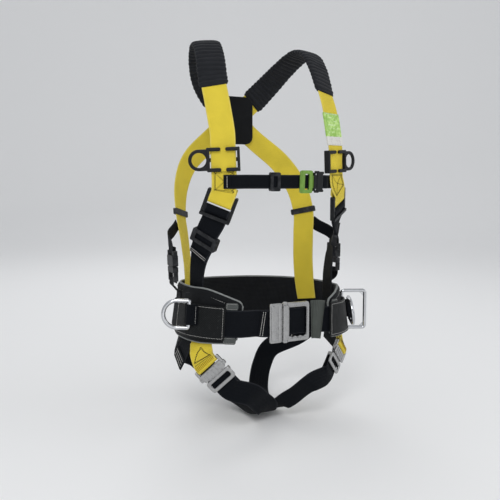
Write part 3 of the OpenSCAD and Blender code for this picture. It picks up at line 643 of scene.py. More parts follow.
def web_section(width, thick, cells=14):
    """Closed outline of flat webbing, as (across, lift): flat faces with a rounded selvage."""
    rim = 0.7
    inner = width / 2 - rim
    top = [(-inner + 2 * inner * k / cells, thick / 2) for k in range(cells + 1)]
    right = [(width / 2 - 0.15, thick * 0.33), (width / 2, 0.0), (width / 2 - 0.15, -thick * 0.33)]
    bottom = [(u, -lift) for u, lift in reversed(top)]
    return top + right + bottom + [(-u, -lift) for u, lift in right]


def finish_mesh(bm, name, body, material, nodes=(), smooth_angle=None, weighted=False, bend=None):
    """Turns a bmesh in millimetres into a piece in metres that rides on a body, or, when bend is given, is left
    unattached at the root.
    """
    bmesh.ops.recalc_face_normals(bm, faces=bm.faces)
    mesh = bpy.data.meshes.new(name)
    bm.to_mesh(mesh)
    bm.free()
    mesh.transform(Matrix.Scale(MM, 4))
    keys = [material] if isinstance(material, str) else list(material)
    for key in keys:
        mesh.materials.append(MATERIALS[key])
    mesh.polygons.foreach_set("use_smooth", [True] * len(mesh.polygons))
    piece = bpy.data.objects.new(name, mesh)
    bpy.context.scene.collection.objects.link(piece)
    if smooth_angle:
        mesh.set_sharp_from_angle(angle=radians(smooth_angle))
    if weighted:
        even = piece.modifiers.new("even_normals", "WEIGHTED_NORMAL")
        even.keep_sharp = True
    if bend:
        [x * MM for x in bend[0]]
        [x * MM for x in bend[1]]
        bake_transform(piece)
    else:
        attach(piece, body)
    if nodes:
        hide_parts(*nodes)
    return piece


def sweep(ribbon, section_at, start=0.0, end=None, spacing=3.0, material_at=None, uv_from=0.0):
    """Sweeps a closed section along a ribbon. UV is the distance across and along, in metres."""
    bm = bmesh.new()
    uv = bm.loops.layers.uv.new("sweep")
    end = ribbon.length if end is None else end
    count = max(2, round((end - start) / spacing))
    stops = [start + (end - start) * i / count for i in range(count + 1)]
    rings = [[(bm.verts.new(ribbon.surface(s, u, lift)), u) for u, lift in section_at(s)] for s in stops]
    sides = len(rings[0])
    for i in range(len(rings) - 1):
        for k in range(sides):
            j = (k + 1) % sides
            corners = [(rings[i][k], stops[i]), (rings[i][j], stops[i]),
                       (rings[i + 1][j], stops[i + 1]), (rings[i + 1][k], stops[i + 1])]
            face = bm.faces.new([c[0][0] for c in corners])
            if material_at:
                face.material_index = material_at(k)
            for loop, corner in zip(face.loops, corners):
                loop[uv].uv = (corner[0][1] * MM, (corner[1] - uv_from) * MM)
    for ring, s in ((rings[0], stops[0]), (rings[-1], stops[-1])):
        face = bm.faces.new([v for v, u in ring])
        for loop, (v, u) in zip(face.loops, ring):
            loop[uv].uv = (u * MM, (s - uv_from + 0.5) * MM)
    return bm


# ---------- Stitching ----------


def circle(centre, r, a, b, sides):
    """Points round centre in the plane of the directions a and b."""
    turns = [2 * pi * k / sides for k in range(sides)]
    return [centre + r * (cos(t) * a + sin(t) * b) for t in turns]


def skin(bm, rings, closed=False):
    """Walls between rings of points, with a cap at each end or joined end to end."""
    rings = [[bm.verts.new(point) for point in ring] for ring in rings]
    sides = len(rings[0])
    pairs = list(zip(rings, rings[1:]))
    if closed:
        shift = min(range(sides), key=lambda k: (rings[-1][0].co - rings[0][k].co).length)
        pairs.append((rings[-1], rings[0][shift:] + rings[0][:shift]))
    for a, b in pairs:
        for k in range(sides):
            bm.faces.new((a[k], a[(k + 1) % sides], b[(k + 1) % sides], b[k]))
    if not closed:
        bm.faces.new(rings[0])
        bm.faces.new(rings[-1])


def stitch(bm, ribbon, s0, u0, s1, u1, lift, radius=0.48):
    """One stitch: a short thread that dips into the cloth at both ends."""
    rings = []
    for t, rise, fat in ((0.0, -0.35, 0.7), (0.18, 0.1, 1.0), (0.5, 0.28, 1.1), (0.82, 0.1, 1.0), (1.0, -0.35, 0.7)):
        s, u = s0 + (s1 - s0) * t, u0 + (u1 - u0) * t
        across, along, out = ribbon.at(s)[1:4]
        wide = ((s1 - s0) * along + (u1 - u0) * across).normalized().cross(out)
        rings.append(circle(ribbon.surface(s, u, lift + rise), radius * fat, wide, out, 6))
    skin(bm, rings)


def seam(bm, ribbon, corners, lift, pitch=3.1, radius=0.48):
    """Stitches along a line through corners, each (distance along, distance across)."""
    for (s0, u0), (s1, u1) in zip(corners, corners[1:]):
        length = hypot(s1 - s0, u1 - u0)
        count = max(1, round(length / pitch))
        for i in range(count):
            a, b = (i + 0.12) / count, (i + 0.88) / count
            stitch(bm, ribbon, s0 + (s1 - s0) * a, u0 + (u1 - u0) * a,
                   s0 + (s1 - s0) * b, u0 + (u1 - u0) * b, lift, radius)


def box_seam(bm, ribbon, s0, s1, half, lift, cross=True):
    seam(bm, ribbon, [(s0, -half), (s1, -half), (s1, half), (s0, half), (s0, -half)], lift)
    if cross:
        seam(bm, ribbon, [(s0, -half), (s1, half)], lift)
        seam(bm, ribbon, [(s0, half), (s1, -half)], lift)


def sewn(name, seams, thread_key="white_thread"):
    """Piece made of seams, each given as what seam takes after its mesh."""
    bm = bmesh.new()
    for items in seams:
        seam(bm, *items)
    finish_mesh(bm, name, "root", thread_key)


# ---------- Hard fittings ----------


def arc(cx, cy, r, start, end, steps=6):
    made = []
    for i in range(steps + 1):
        a = radians(start + (end - start) * i / steps)
        made.append((cx + r * cos(a), cy + r * sin(a)))
    return made


def round_box(width, height, r, cx=0.0, cy=0.0):
    x, y = width / 2 - r, height / 2 - r
    return (arc(cx + x, cy + y, r, 0, 90) + arc(cx - x, cy + y, r, 90, 180)
            + arc(cx - x, cy - y, r, 180, 270) + arc(cx + x, cy - y, r, 270, 360))


def disc(r, cx=0.0, cy=0.0, steps=56):
    return [tuple(point) for point in circle(Vector((cx, cy)), r, Vector((1, 0)), Vector((0, 1)), steps)]


class Fitting:
    """A moulded or pressed fitting, built in the (across, along, outward) millimetres of its seat."""

    def __init__(self):
        self.bm = bmesh.new()

    def add(self, mesh, matrix, index):
        before = len(self.bm.faces)
        mesh.transform(matrix)
        self.bm.from_mesh(mesh)
        self.bm.faces.ensure_lookup_table()
        for face in self.bm.faces[before:]:
            face.material_index = index
        bpy.data.meshes.remove(mesh)

    def take(self, bm, matrix, index):
        mesh = bpy.data.meshes.new("shape")
        bm.to_mesh(mesh)
        bm.free()
        self.add(mesh, matrix, index)

    def slab(self, outlines, low, high, edge=0.7, index=0, turn=None):
        """Plate between heights low and high. The first outline is its rim and the others are holes."""
        curve = bpy.data.curves.new("outline", "CURVE")
        curve.dimensions = "2D"
        curve.fill_mode = "BOTH"
        curve.extrude = (high - low) / 2 - edge
        curve.bevel_depth = edge
        curve.bevel_resolution = 2
        curve.offset = -edge
        for outline in outlines:
            spline = curve.splines.new("POLY")
            spline.points.add(len(outline) - 1)
            for point, (x, y) in zip(spline.points, outline):
                point.co = (x, y, 0, 1)
            spline.use_cyclic_u = True
        helper = bpy.data.objects.new("outline", curve)
        bpy.context.scene.collection.objects.link(helper)
        bpy.context.view_layer.update()
        mesh = bpy.data.meshes.new_from_object(helper.evaluated_get(bpy.context.evaluated_depsgraph_get()))
        bpy.data.objects.remove(helper)
        bpy.data.curves.remove(curve)
        place = Matrix.Translation((0, 0, (low + high) / 2))
        self.add(mesh, (turn or Matrix.Identity(4)) @ place, index)

    def plates(self, *rows):
        """Rounded plates, each (width, height, corner radius, u, v, low, high, edge)."""
        for width, height, r, u, v, low, high, edge in rows:
            self.slab([round_box(width, height, r, u, v)], low, high, edge)

    def pair(self, u, v, w, size, edge):
        """A block on each side."""
        for way in (-1, 1):
            self.block((way * u, v, w), size, edge)

    def block(self, centre, size, edge=0.6):
        bm = bmesh.new()
        bmesh.ops.create_cube(bm, size=1.0)
        bmesh.ops.scale(bm, vec=size, verts=bm.verts)
        edge = min(edge, 0.49 * min(size))
        bmesh.ops.bevel(bm, geom=bm.edges, offset=edge, segments=3, profile=0.5, affect="EDGES")
        self.take(bm, Matrix.Translation(centre), 0)

    def rod(self, a, b, r, index=0, ends=0.4):
        """Round rod from a to b with softened ends."""
        a, b = Vector(a), Vector(b)
        length = (b - a).length
        soft = min(ends, 0.45 * length, 0.9 * r)
        profile = [(0.0, r - soft), (0.3 * soft, r - 0.3 * soft), (soft, r),
                   (length - soft, r), (length - 0.3 * soft, r - 0.3 * soft), (length, r - soft)]
        bm = bmesh.new()
        skin(bm, [circle(Vector((0, 0, z)), radius, Vector((1, 0, 0)), Vector((0, 1, 0)), 28) for z, radius in profile])
        turn = Vector((0, 0, 1)).rotation_difference((b - a).normalized()).to_matrix().to_4x4()
        self.take(bm, Matrix.Translation(a) @ turn, index)

    def loop(self, path, r, sides=16, closed=True):
        """Round wire along a closed or open path of points."""
        path = [Vector(p) for p in path]
        last = len(path) - 1
        rings = []
        normal = None
        for i, point in enumerate(path):
            after = path[(i + 1) % len(path)] if closed else path[min(i + 1, last)]
            before = path[i - 1] if closed else path[max(i - 1, 0)]
            along = (after - before).normalized()
            normal = normal or along.orthogonal().normalized()
            normal = (normal - normal.dot(along) * along).normalized()
            rings.append(circle(point, r, normal, along.cross(normal), sides))
        bm = bmesh.new()
        skin(bm, rings, closed)
        self.take(bm, Matrix.Identity(4), 0)

    def build(self, name, f, body, material, nodes=(), mirror=False, keep=False):
        bm = self.bm.copy() if keep else self.bm
        bmesh.ops.remove_doubles(bm, verts=bm.verts, dist=0.0005)
        basis = Matrix(((f.u.x, f.v.x, f.w.x, f.p.x), (f.u.y, f.v.y, f.w.y, f.p.y),
                        (f.u.z, f.v.z, f.w.z, f.p.z), (0, 0, 0, 1)))
        if mirror:
            basis = Matrix.Diagonal((-1, 1, 1, 1)) @ basis
        bm.transform(basis)
        return finish_mesh(bm, name, body, material, nodes, smooth_angle=38, weighted=True)


def both_sides(fitting, name, f, bodies):
    """The same steel fitting on the side it is drawn for and mirrored to the other."""
    for side, body in zip(("right", "left"), bodies):
        fitting.build(f"{name}_{side}_shell", f, body, "buckle", [f"{name}_{side}"], side == "left", side == "right")


make_camera()
make_studio()

# ---------- Pieces of webbing ----------


def strap(name, ribbon, thick, material, nodes=(), start=0.0, end=None, lift=0.0, trim=0.0, bend=None, body="root"):
    """Webbing on a stretch of a ribbon. trim takes that much off its width."""
    end = ribbon.length if end is None else end

    def section_at(s):
        outline = web_section(ribbon.at(s)[4] - trim, thick)
        return [(u, w + lift) for u, w in outline]

    bm = sweep(ribbon, section_at, start=start, end=end, spacing=3.0)
    return finish_mesh(bm, name, body, material, nodes, smooth_angle=50, bend=bend)


def round_ends(s, start, end, half, r):
    """Half width at s of a piece whose four corners are rounded with radius r."""
    d = max(0.0, min(s - start, end - s))
    return half if d >= r else half - r + sqrt(max(r * r - (r - d) ** 2, 0.0))


def hem(name, ribbon, start, end, thick, material, thread_key, way=1, rows=2, trim=0.6, bend=None, body="root"):
    """Folded end of a strap: a second layer on its outer (way 1) or inner side, with rows of stitches."""
    strap(name, ribbon, thick, material, start=start, end=end, lift=way * (thick + 0.05), trim=trim,
          bend=bend, body=body)
    bm = bmesh.new()
    half = ribbon.at((start + end) / 2)[4] / 2 - 2.5
    for k in range(rows):
        s = start + (end - start) * (k + 1) / (rows + 1)
        seam(bm, ribbon, [(s, -half), (s, half)], way * (1.5 * thick + 0.05))
    finish_mesh(bm, name + "_stitches", body, thread_key, bend=bend)


# Yellow shoulder straps
SHOULDER = {"right": Ribbon(shoulder_route(0, 0), seed=1.0),
            "left": Ribbon(left(shoulder_route(LAYER + 0.6, 1)), seed=2.0)}
for side, ribbon in SHOULDER.items():
    strap(f"yellow_strap_{side}", ribbon, WEB_T, "yellow", [f"shoulder_strap_{side}"])
    threads = bmesh.new()
    lean = 1 if side == "left" else 0
    cross_at = on(front(lean, CHEST_Z), CHEST_Z, 8.2)
    middle = ribbon.nearest(mirrored(cross_at).p if lean else cross_at.p) + 3.0 * lean
    box_seam(threads, ribbon, middle - 17.5, middle + 17.5, 17.5, WEB_T / 2)
    box_seam(threads, ribbon, middle - 15.5, middle + 15.5, 15.5, WEB_T / 2, cross=False)
    for z, low in ((60, 22.0), (320, 26.0)):
        point = on(118 if z == 60 else 149, z, 8)
        s = ribbon.nearest(mirrored(point).p if lean else point.p)
        box_seam(threads, ribbon, s - low / 2, s + low / 2, 17.0, WEB_T / 2)
    finish_mesh(threads, f"yellow_strap_stitches_{side}", "root", "black_thread")
    hem(f"yellow_strap_end_{side}", ribbon, ribbon.length - 12, ribbon.length, WEB_T, "yellow", "black_thread", way=1)


# ---------- Shoulder pads, label and back ----------


def puffy(half, thick, steps=44):
    """Soft closed outline, half wide to each side and half of thick above and below."""
    made = []
    for k in range(steps):
        a = 2 * pi * k / steps
        made.append((half * power(cos(a), 0.55), thick / 2 * power(sin(a), 0.8)))
    return made


def pleats(s, u, seed):
    """Height from 0 to 1 of the gathers of an elastic sleeve at distance s."""
    drift = 2.6 * noise.noise(Vector((u / 19.0, s / 40.0, seed))) + 0.8 * noise.noise(Vector((u / 6.0, s / 14.0, seed)))
    deep = 0.72 + 0.28 * noise.noise(Vector((s / 12.0, u / 24.0, seed + 5)))
    return deep * abs(sin(pi * (s + drift) / 9.4)) ** 0.62


def gathered_sleeve(name, ribbon, start, end, node, seed):
    def section_at(s):
        shape = []
        close = min(1.0, 0.35 + max(0.0, min(s - start, end - s)) / 9.0)
        for u, w in puffy(1.0, 2.0):
            fold = pleats(s, 26 * u, seed)
            half = 22.8 + (2.4 + 2.2 * fold) * close
            thick = 1.3 + (3.0 + 2.6 * fold) * close
            shape.append((u * half, w * thick))
        return shape

    bm = sweep(ribbon, section_at, start=start, end=end, spacing=0.9)
    piece = finish_mesh(bm, name, "root", "sleeve", [node])


for side, ribbon in SHOULDER.items():
    covered = [m for m, point in zip(ribbon.marks, ribbon.points) if point.p.z > 430 and abs(point.p.x) > 44]
    gathered_sleeve(f"shoulder_sleeve_{side}", ribbon, covered[0], covered[-1], f"shoulder_pad_{side}",
                    3.0 if side == "right" else 8.0)

LABEL_LENGTH = 62
LABEL_FROM = SHOULDER["left"].nearest(mirrored(on(front(1, 390), 390, 7)).p)
LABEL_TO = LABEL_FROM + LABEL_LENGTH
label_mesh = sweep(SHOULDER["left"], lambda s: web_section(WEB + 2.4, WEB_T + 2.2, 20), start=LABEL_FROM,
                   end=LABEL_TO, spacing=2.0, uv_from=LABEL_FROM)
finish_mesh(label_mesh, "label_tape", "root", "label", ["label_sleeve"], smooth_angle=50)
sewn("label_stitches", [(SHOULDER["left"], [(s, -21), (s, 21)], WEB_T / 2 + 1.1, 2.6, 0.28)
                        for s in (LABEL_FROM + 1.6, LABEL_TO - 1.6)])

BACK_Y = girth(392, 3) + 1.5
backing_line = Ribbon([free(0, BACK_Y, z, 0, 1, 0, 84) for z in (342, 367, 392, 417, 442)], waves=0.15, seed=5.0)


def backing_section(s):
    return web_section(2 * round_ends(s, 0, backing_line.length, 42, 17), 3.0, 20)


backing_mesh = sweep(backing_line, backing_section, spacing=1.5)
finish_mesh(backing_mesh, "dorsal_cloth", "root", "pad", ["dorsal_backing"], smooth_angle=50)
backing_seams = [[(20, u), (backing_line.length - 20, u)] for u in (-38, 38)]
backing_seams += [[(s, -25), (s, 25)] for s in (4, backing_line.length - 4)]
sewn("dorsal_cloth_stitches", [(backing_line, line, 1.5) for line in backing_seams])

# ---------- Chest, torso and link straps ----------

CHEST_BEND = ([-24, -120, CHEST_Z], [22, -122, CHEST_Z])
chest_long = Ribbon(CHEST_LONG_ROUTE, waves=0.12, seed=11.0)
chest_short = Ribbon(CHEST_SHORT_ROUTE, waves=0.12, seed=12.0)
strap("chest_web_long", chest_long, CHEST_T, "black_narrow", ["chest_strap_long"], bend=CHEST_BEND, body="chest_plug")
strap("chest_web_short", chest_short, CHEST_T, "black_narrow", ["chest_strap_short"])
hem("chest_web_end", chest_long, 0.0, 13.0, CHEST_T, "black_narrow", "white_thread", rows=1)
hem("chest_web_tail", chest_long, chest_long.length - 12, chest_long.length, CHEST_T, "black_narrow",
    "black_thread", way=1)

for side in ("right", "left"):
    turned = list if side == "right" else left
    torso = Ribbon(turned(TORSO_ROUTE), waves=0.25 if side == "right" else 0.7, seed=20.0 + len(side))
    strap(f"torso_web_{side}", torso, WEB_T, "black", [f"torso_strap_{side}"])
    hem(f"torso_web_end_{side}", torso, torso.length - 24, torso.length - 1, WEB_T, "black", "white_thread",
        way=-1, rows=3)
    hem(f"torso_web_tail_{side}", torso, 1, 13, WEB_T, "black", "white_thread", way=1)
    upper = Ribbon(turned(LINK_UPPER_ROUTE), waves=0.1, seed=30.0)
    lower = Ribbon(turned(LINK_LOWER_ROUTE), waves=0.1, seed=31.0)
    flip_x = 1 if side == "right" else -1
    bend = ([-190 * flip_x, 10, 44], [-184 * flip_x, 10, 66])
    strap(f"link_web_upper_{side}", upper, CHEST_T, "black_narrow", [f"link_webbing_{side}"])
    strap(f"link_web_lower_{side}", lower, CHEST_T, "black_narrow", bend=bend, body=f"link_plug_body_{side}")

# ---------- Waist belt, pad and patches ----------

belt = Ribbon(BELT_ROUTE, waves=0.2, seed=40.0)
BELT_SPLIT = belt.nearest(round_waist(-60, 0, BELT_OFF).p)
BELT_BEND = ([-108, -108, 0], [-44, -118, 0])
strap("belt_web_front", belt, BELT_T, "belt", ["belt_webbing"], end=BELT_SPLIT, bend=BELT_BEND, body="waist_plug")
strap("belt_web_round", belt, BELT_T, "belt", start=BELT_SPLIT)
fold_at = belt.nearest(rel(WAIST, 0, -46, -3.4).p)
hem("belt_web_fold", belt, fold_at + 2, fold_at + 15, 1.6, "belt", "white_thread", way=1, rows=2,
    bend=BELT_BEND, body="waist_plug")


def pad_height(a):
    k = min(1.0, max(0.0, (min(a, 360 - a) - 30) / 30))
    return 74 + 26 * k * k * (3 - 2 * k)


PIPING_R = 2.1
PAD_ANGLES = [32 + 14.8 * i for i in range(21)]
pad_line = Ribbon([round_waist(-a, (pad_height(a) - 74) / 3, PAD_MID, pad_height(a)) for a in PAD_ANGLES],
                  waves=0.9, seed=50.0, wave_length=46.0)


def pad_half(s):
    return round_ends(s, 0, pad_line.length, pad_line.at(s)[4] / 2, 9) - 0.6


def pad_section(s):
    """Padded band: full between its seams, thin at its bound edges, with the belt's channel pressed in."""
    half = pad_half(s)
    near_end = min(1.0, 0.35 + min(s, pad_line.length - s) / 16)
    outer, inner = [], []
    for k in range(41):
        t = -1 + k / 20
        u = half * t
        from_edge = half - abs(u)
        full = min(1.0, from_edge / 7) ** 0.5
        groove = 1.3 * exp(-((from_edge - 11) / 1.5) ** 2)
        crease = 0.55 * noise.noise(Vector((s / 15, u / 23, 4)))
        outer.append((u, near_end * (1.6 + 3.6 * full - groove + crease * full)))
        inner.append((u, -near_end * (1.6 + 3.1 * full - 0.6 * groove)))
    return outer + inner[::-1]


pad_mesh = sweep(pad_line, pad_section, start=0.4, end=pad_line.length - 0.4, spacing=2.0,
                 material_at=lambda k: 0 if k < 40 else 1)
pad_piece = finish_mesh(pad_mesh, "waist_pad_cushion", "root", ("pad", "lining"), ["waist_pad"])

for way, name in ((1, "upper"), (-1, "lower")):
    piping = sweep(pad_line, lambda s, way=way: disc(PIPING_R, way * pad_half(s), 0, 12), start=0.5,
                   end=pad_line.length - 0.5, spacing=2.0)
    finish_mesh(piping, f"pad_piping_{name}", "root", "piping")

# Bound front ends of the pad, between its two pipings
world = Seat(Vector((0, 0, 0)), Vector((1, 0, 0)), Vector((0, 1, 0)), Vector((0, 0, 1)))
for name, s in (("right", 0.8), ("left", pad_line.length - 0.8)):
    end_cord = Fitting()
    half = pad_half(s)
    end_cord.loop([pad_line.surface(s, half * t / 8, 0) for t in range(-8, 9)], PIPING_R, closed=False)
    end_cord.build(f"pad_end_binding_{name}", world, "root", "piping")

steps = [12 + (pad_line.length - 24) * i / 90 for i in range(91)]
sewn("pad_stitches", [(pad_line, [(s, way * (pad_half(s) - 11.4)) for s in steps], 3.9, 4.0, 0.3) for way in (-1, 1)])

# Leather tabs over the pad's front corners
TAB_OFF = PAD_IN + PAD_T + 1.4
for a, side in ((-33, "right"), (32.5, "left")):
    for dz, name in ((31, "upper"), (-31, "lower")):
        line = Ribbon([round_waist(a + k * copysign(3.0, a), dz, TAB_OFF, 13) for k in range(4)],
                      waves=0.3, seed=dz)
        nodes = ["pad_corner_tabs"] if (side, name) == ("right", "upper") else ()
        tab = sweep(line, lambda s, line=line: web_section(2 * round_ends(s, 0, line.length, 6.8, 3.5), 1.3, 8),
                    spacing=1.0)
        finish_mesh(tab, f"corner_tab_{name}_{side}", "root", "leather", nodes, smooth_angle=50)
        far = line.length - 2
        sewn(f"corner_tab_stitches_{name}_{side}",
             [(line, [(2, -4.6), (far, -4.6), (far, 4.6), (2, 4.6)], 0.75, 2.2, 0.22)])

panel = Ribbon([rel(WAIST, 0, 49, -1.2, 0, 74), rel(WAIST, 0, 60, 0.2, 0, 74), round_waist(23.5, 0, 20, 74)],
               waves=0.5, seed=60.0)
strap("keeper_panel", panel, 2.0, "keeper", ["belt_keeper_left"])
sewn("keeper_panel_stitches",
     [(panel, [(s, -33), (s, 33)], 1.0, 2.8, 0.3) for s in (2.5, panel.length - 2.5)], "black_thread")

PATCHES = {
    "right": Ribbon([round_waist(a, 0, PATCH_OFF, 62) for a in (-42, -54, -66, -78, -90)], waves=0.35, seed=61.0),
    "left": Ribbon([round_waist(a, 0, PATCH_OFF, 66) for a in (27, 38, 50, 62, 74, 84, 94)], waves=0.8, seed=62.0)}
for side, ribbon in PATCHES.items():
    strap(f"ring_patch_cloth_{side}", ribbon, PATCH_T, "patch", [f"ring_patch_{side}"])
    half = ribbon.at(0)[4] / 2 - 3.4
    far = ribbon.length - 3.4
    border = [(3.4, -half), (far, -half), (far, half), (3.4, half), (3.4, -half)]
    sewn(f"ring_patch_stitches_{side}", [(ribbon, border, PATCH_T / 2, 3.0, 0.3)])


def tube_route(f, r, base, width, spread):
    """Sewn loop of webbing from the patch, round a ring's bar and back to the patch."""
    def point(u, w, nu, nw):
        return Point(f.p + u * f.u + w * f.w, (nu * f.u + nw * f.w).normalized(), width)

    made = [point(-spread, base, -0.1, 1), point(-r - 3.2, base + 0.3, -0.25, 1), point(-r - 0.4, base * 0.45, -1, 0.5)]
    for turn in range(180, -1, -30):
        a = radians(turn)
        made.append(point(r * cos(a), r * sin(a), cos(a), sin(a)))
    made += [point(r + 0.4, base * 0.45, 1, 0.5), point(r + 3.2, base + 0.3, 0.25, 1), point(spread, base, 0.1, 1)]
    return made


TUBES = {"right": (RING_RIGHT, 38, 15), "left": (RING_LEFT, 38, 15), "square": (RING_SQUARE, 52, 14)}
for name, (f, width, spread) in TUBES.items():
    base = -RING_WIRE - 2.0
    loop = Ribbon(tube_route(f, RING_WIRE + 1.35, base, width, spread), 1.5, waves=0.0)
    strap(f"ring_loop_{name}", loop, 2.2, "belt")
    sewn(f"ring_loop_stitches_{name}",
         [(loop, [(s, 3 - width / 2), (s, width / 2 - 3)], 1.1, 2.8, 0.3) for s in (3.0, loop.length - 3.0)])

# ---------- Leg straps ----------

for side in ("right", "left"):
    turned = list if side == "right" else left
    leg = Ribbon(turned(leg_route(0 if side == "right" else 2 * LAYER)), waves=0.35, seed=70.0 + len(side))
    groin = turned([free(-38, -75, -161, 0, -1, 0)])[0].p
    split = leg.nearest(groin)
    bend = tuple(list(turned([rel(LEG, 0, v, -4)])[0].p) for v in (-62, -20))
    strap(f"leg_web_front_{side}", leg, WEB_T, "black", [f"leg_strap_{side}"], start=split, bend=bend,
          body=f"leg_plug_{side}")
    strap(f"leg_web_rear_{side}", leg, WEB_T, "black", end=split)
    tab = Ribbon(turned(tab_route([on(-65.5, -34, 6.9)] if side == "right" else [])), waves=0.2, seed=80.0)
    strap(f"leg_tab_web_{side}", tab, WEB_T, "yellow", [f"leg_tab_{side}"])
    low = tab.nearest(turned([rel(LEG, 0, 31, 2.8)])[0].p) + 5
    top = min(low + 27, tab.length - 2)
    threads = bmesh.new()
    for inset in (0, 1.3):
        base = low + 3.5 + inset
        seam(threads, tab, [(base, inset - 18), (top - 2 * inset, 0), (base, 18 - inset), (base, inset - 18)],
             WEB_T / 2, 2.8, 0.6)
    seam(threads, tab, [(low, -19), (low, 19)], WEB_T / 2, 2.8, 0.6)
    finish_mesh(threads, f"leg_tab_stitches_{side}", "root", "black_thread")
    ribs = bmesh.new()
    for k in range(13):
        stitch(ribs, tab, low - 10.5, 3.2 * (k - 6), low - 1.5, 3.2 * (k - 6), WEB_T / 2, 0.8)
    finish_mesh(ribs, f"leg_tab_ribs_{side}", "root", "yellow_thread")

# ---------- Plastic and steel fittings ----------


def dress(node, material, edge):
    """Shows a solid of the frame itself, with softened edges and its material."""
    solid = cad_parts[node]
    solid.data.materials.clear()
    solid.data.materials.append(MATERIALS[material])
    soften = solid.modifiers.new("soft_edges", "BEVEL")
    soften.width = edge * MM
    soften.segments = 3
    soften.limit_method = "ANGLE"
    soften.angle_limit = radians(40)
    soften.harden_normals = True


DRESSED = {
    ("plastic", 0.7): ["chest_keeper", "chest_release_upper", "chest_release_lower"],
    ("plastic", 0.8): ["dorsal_plate", "back_slider", "link_plug"],
    ("plastic", 0.9): ["torso_adjuster", "torso_keeper", "link_socket"],
    ("plastic", 0.2): ["torso_slide_bar"], ("buckle", 0.2): ["waist_slide_bar"],
    ("buckle", 0.9): ["waist_release_upper", "waist_release_lower", "leg_lever_front", "leg_lever_rear"]}
for (material, edge), names in DRESSED.items():
    for name in names:
        for node in (name, f"{name}_right", f"{name}_left"):
            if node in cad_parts:
                dress(node, material, edge)

# Hook hangers: a D-shaped ring beside a frame whose front bars are split
HOOK_U = -43.4
for lean, side in ((0, "right"), (1, "left")):
    hanger = Fitting()
    rim = arc(HOOK_U, 0, 19, 90, 270, 30) + [(-28.5, -19), (-28.5, 19)]
    hanger.slab([rim, disc(13, HOOK_U, 0)], -0.5, 4.5, 1.5)
    hanger.slab([disc(16.4, HOOK_U, 0), disc(14.2, HOOK_U, 0)], 4.2, 4.9, 0.3)
    hanger.pair(27, 0, 0, (4.8, 43, 12.6), 1.5)
    for v in (-18, 18):
        for u in (-16.4, 16.4):
            hanger.plates((24, 6.6, 2.4, u, v, 2.3, 6.4, 1.2))
    hanger.block((0, 0, -4.6), (54, 7, 4), 1.2)
    hanger.build(f"hanger_shell_{side}", hanger_seat(lean), f"hanger_{side}", "plastic",
                 [f"hook_hanger_{side}"], mirror=bool(lean))

# Chest buckle
tongue = Fitting()
tongue.slab([round_box(42, 29, 4.5, 0, -15.5), round_box(29, 10, 2.4, 0, -14)], -1.75, 1.75, 0.9)
tongue.plates((37, 5.4, 2.2, 0, -24.4, 1.4, 2.3, 0.6), (23, 15, 3, 0, 6, -1.7, 1.7, 0.6))
tongue.pair(17, -6, -4, (4, 6, 6), 1.2)
tongue.rod((-17, -6, -2.9 - CHEST_TURN), (17, -6, -2.9 - CHEST_TURN), 1.8)
tongue.build("chest_tongue_shell", CHEST, "chest_plug", "green", ["chest_tongue"])

socket = Fitting()
socket.plates((36, 5.6, 2.2, 0, 3.0, 1.9, 4.6, 1.1), (36, 14, 3.6, 0, 13.7, 1.9, 4.8, 1.3),
              (34, 18, 3, 0, 9.5, 1.8, 3.6, 0.4), (34, 17, 3, 0, 9, -5.5, -2.0, 1.0))
socket.block((0, 16.0, 0), (27, 2.6, 4.4), 0.3)
for v in (2.4, 15.6):
    socket.pair(15.4, v, 0, (3.4, 3.6, 4.6), 0.5)
socket.pair(16.5, 19, -3, (5, 14, 8), 1.6)
for u in (-13.9, 13.9):
    socket.rod((u, 3.0, 4.3), (u, 3.0, 5.1), 1.35, index=1, ends=0.5)
socket.rod((-17, 22, -2.9 - CHEST_TURN), (17, 22, -2.9 - CHEST_TURN), 1.8)
socket.build("chest_socket_shell", CHEST, "root", ("plastic", "tongue"), ["chest_socket"])

# Waist buckle: pressed tongue plate on the wearer's right, framed adjuster on the wearer's left
tongue = Fitting()
tongue.plates((74, 26, 4, 0, -29, -1.75, 1.75, 0.9), (67, 10, 3.5, 0, -33.5, 1.2, 3.0, 1.5),
              (70, 6.5, 2.5, 0, -21.6, 1.2, 2.7, 1.2), (7, 2.6, 1.2, 0, -27.4, 1.5, 2.1, 0.25),
              (50, 17, 3, 0, -9, -1.5, 1.5, 0.6))
tongue.pair(29, -25, -5.5, (5, 8, 9), 1.4)
tongue.rod((-30, -25, -3.4 - BELT_TURN), (30, -25, -3.4 - BELT_TURN), 2.0)
tongue.build("waist_tongue_shell", WAIST, "waist_plug", "buckle", ["waist_tongue"])

holder = Fitting()
teeth = [(-28.6 + i % 2, i - 1) for i in range(36)]
curl = [(28.2 - 1.1 * cos(2 * pi * i / 11.5), i) for i in range(35, -1, -1)]
window = teeth + [(-26, 37), (26, 37)] + curl + [(26, -1.6), (-26, -1.6)]
holder.slab([round_box(70, 43, 4, 0, 19), window], -2.0, 2.0, 0.3)
rim = arc(31, 36.5, 6, 90, 0) + [(37, -4), (-37, -4)] + arc(-31, 36.5, 6, 180, 90)
holder.slab([rim, round_box(60.5, 40.5, 4, 0, 18)], -3.0, 3.3, 1.5)
holder.plates((66, 11.5, 2.6, 0, -9.0, 1.9, 4.7, 1.2), (66, 11.5, 2.6, 0, -9.0, -4.6, -1.9, 1.0))
for u, v, w, size, edge in (
        (26.2, -9, 0, (1.4, 10, 4.2), 0.3), (34.4, -3.6, 0, (5.6, 2.4, 7.4), 0.8),
        (34.4, -14.2, 0, (4.6, 1.8, 6.2), 0.7), (31, 13.4, -7, (6, 5, 11), 1.4),
        (31, -0.8, -7, (6, 4, 11), 1.4), (33, 6, -7, (2, 18, 11), 0.8)):
    holder.pair(u, v, w, size, edge)
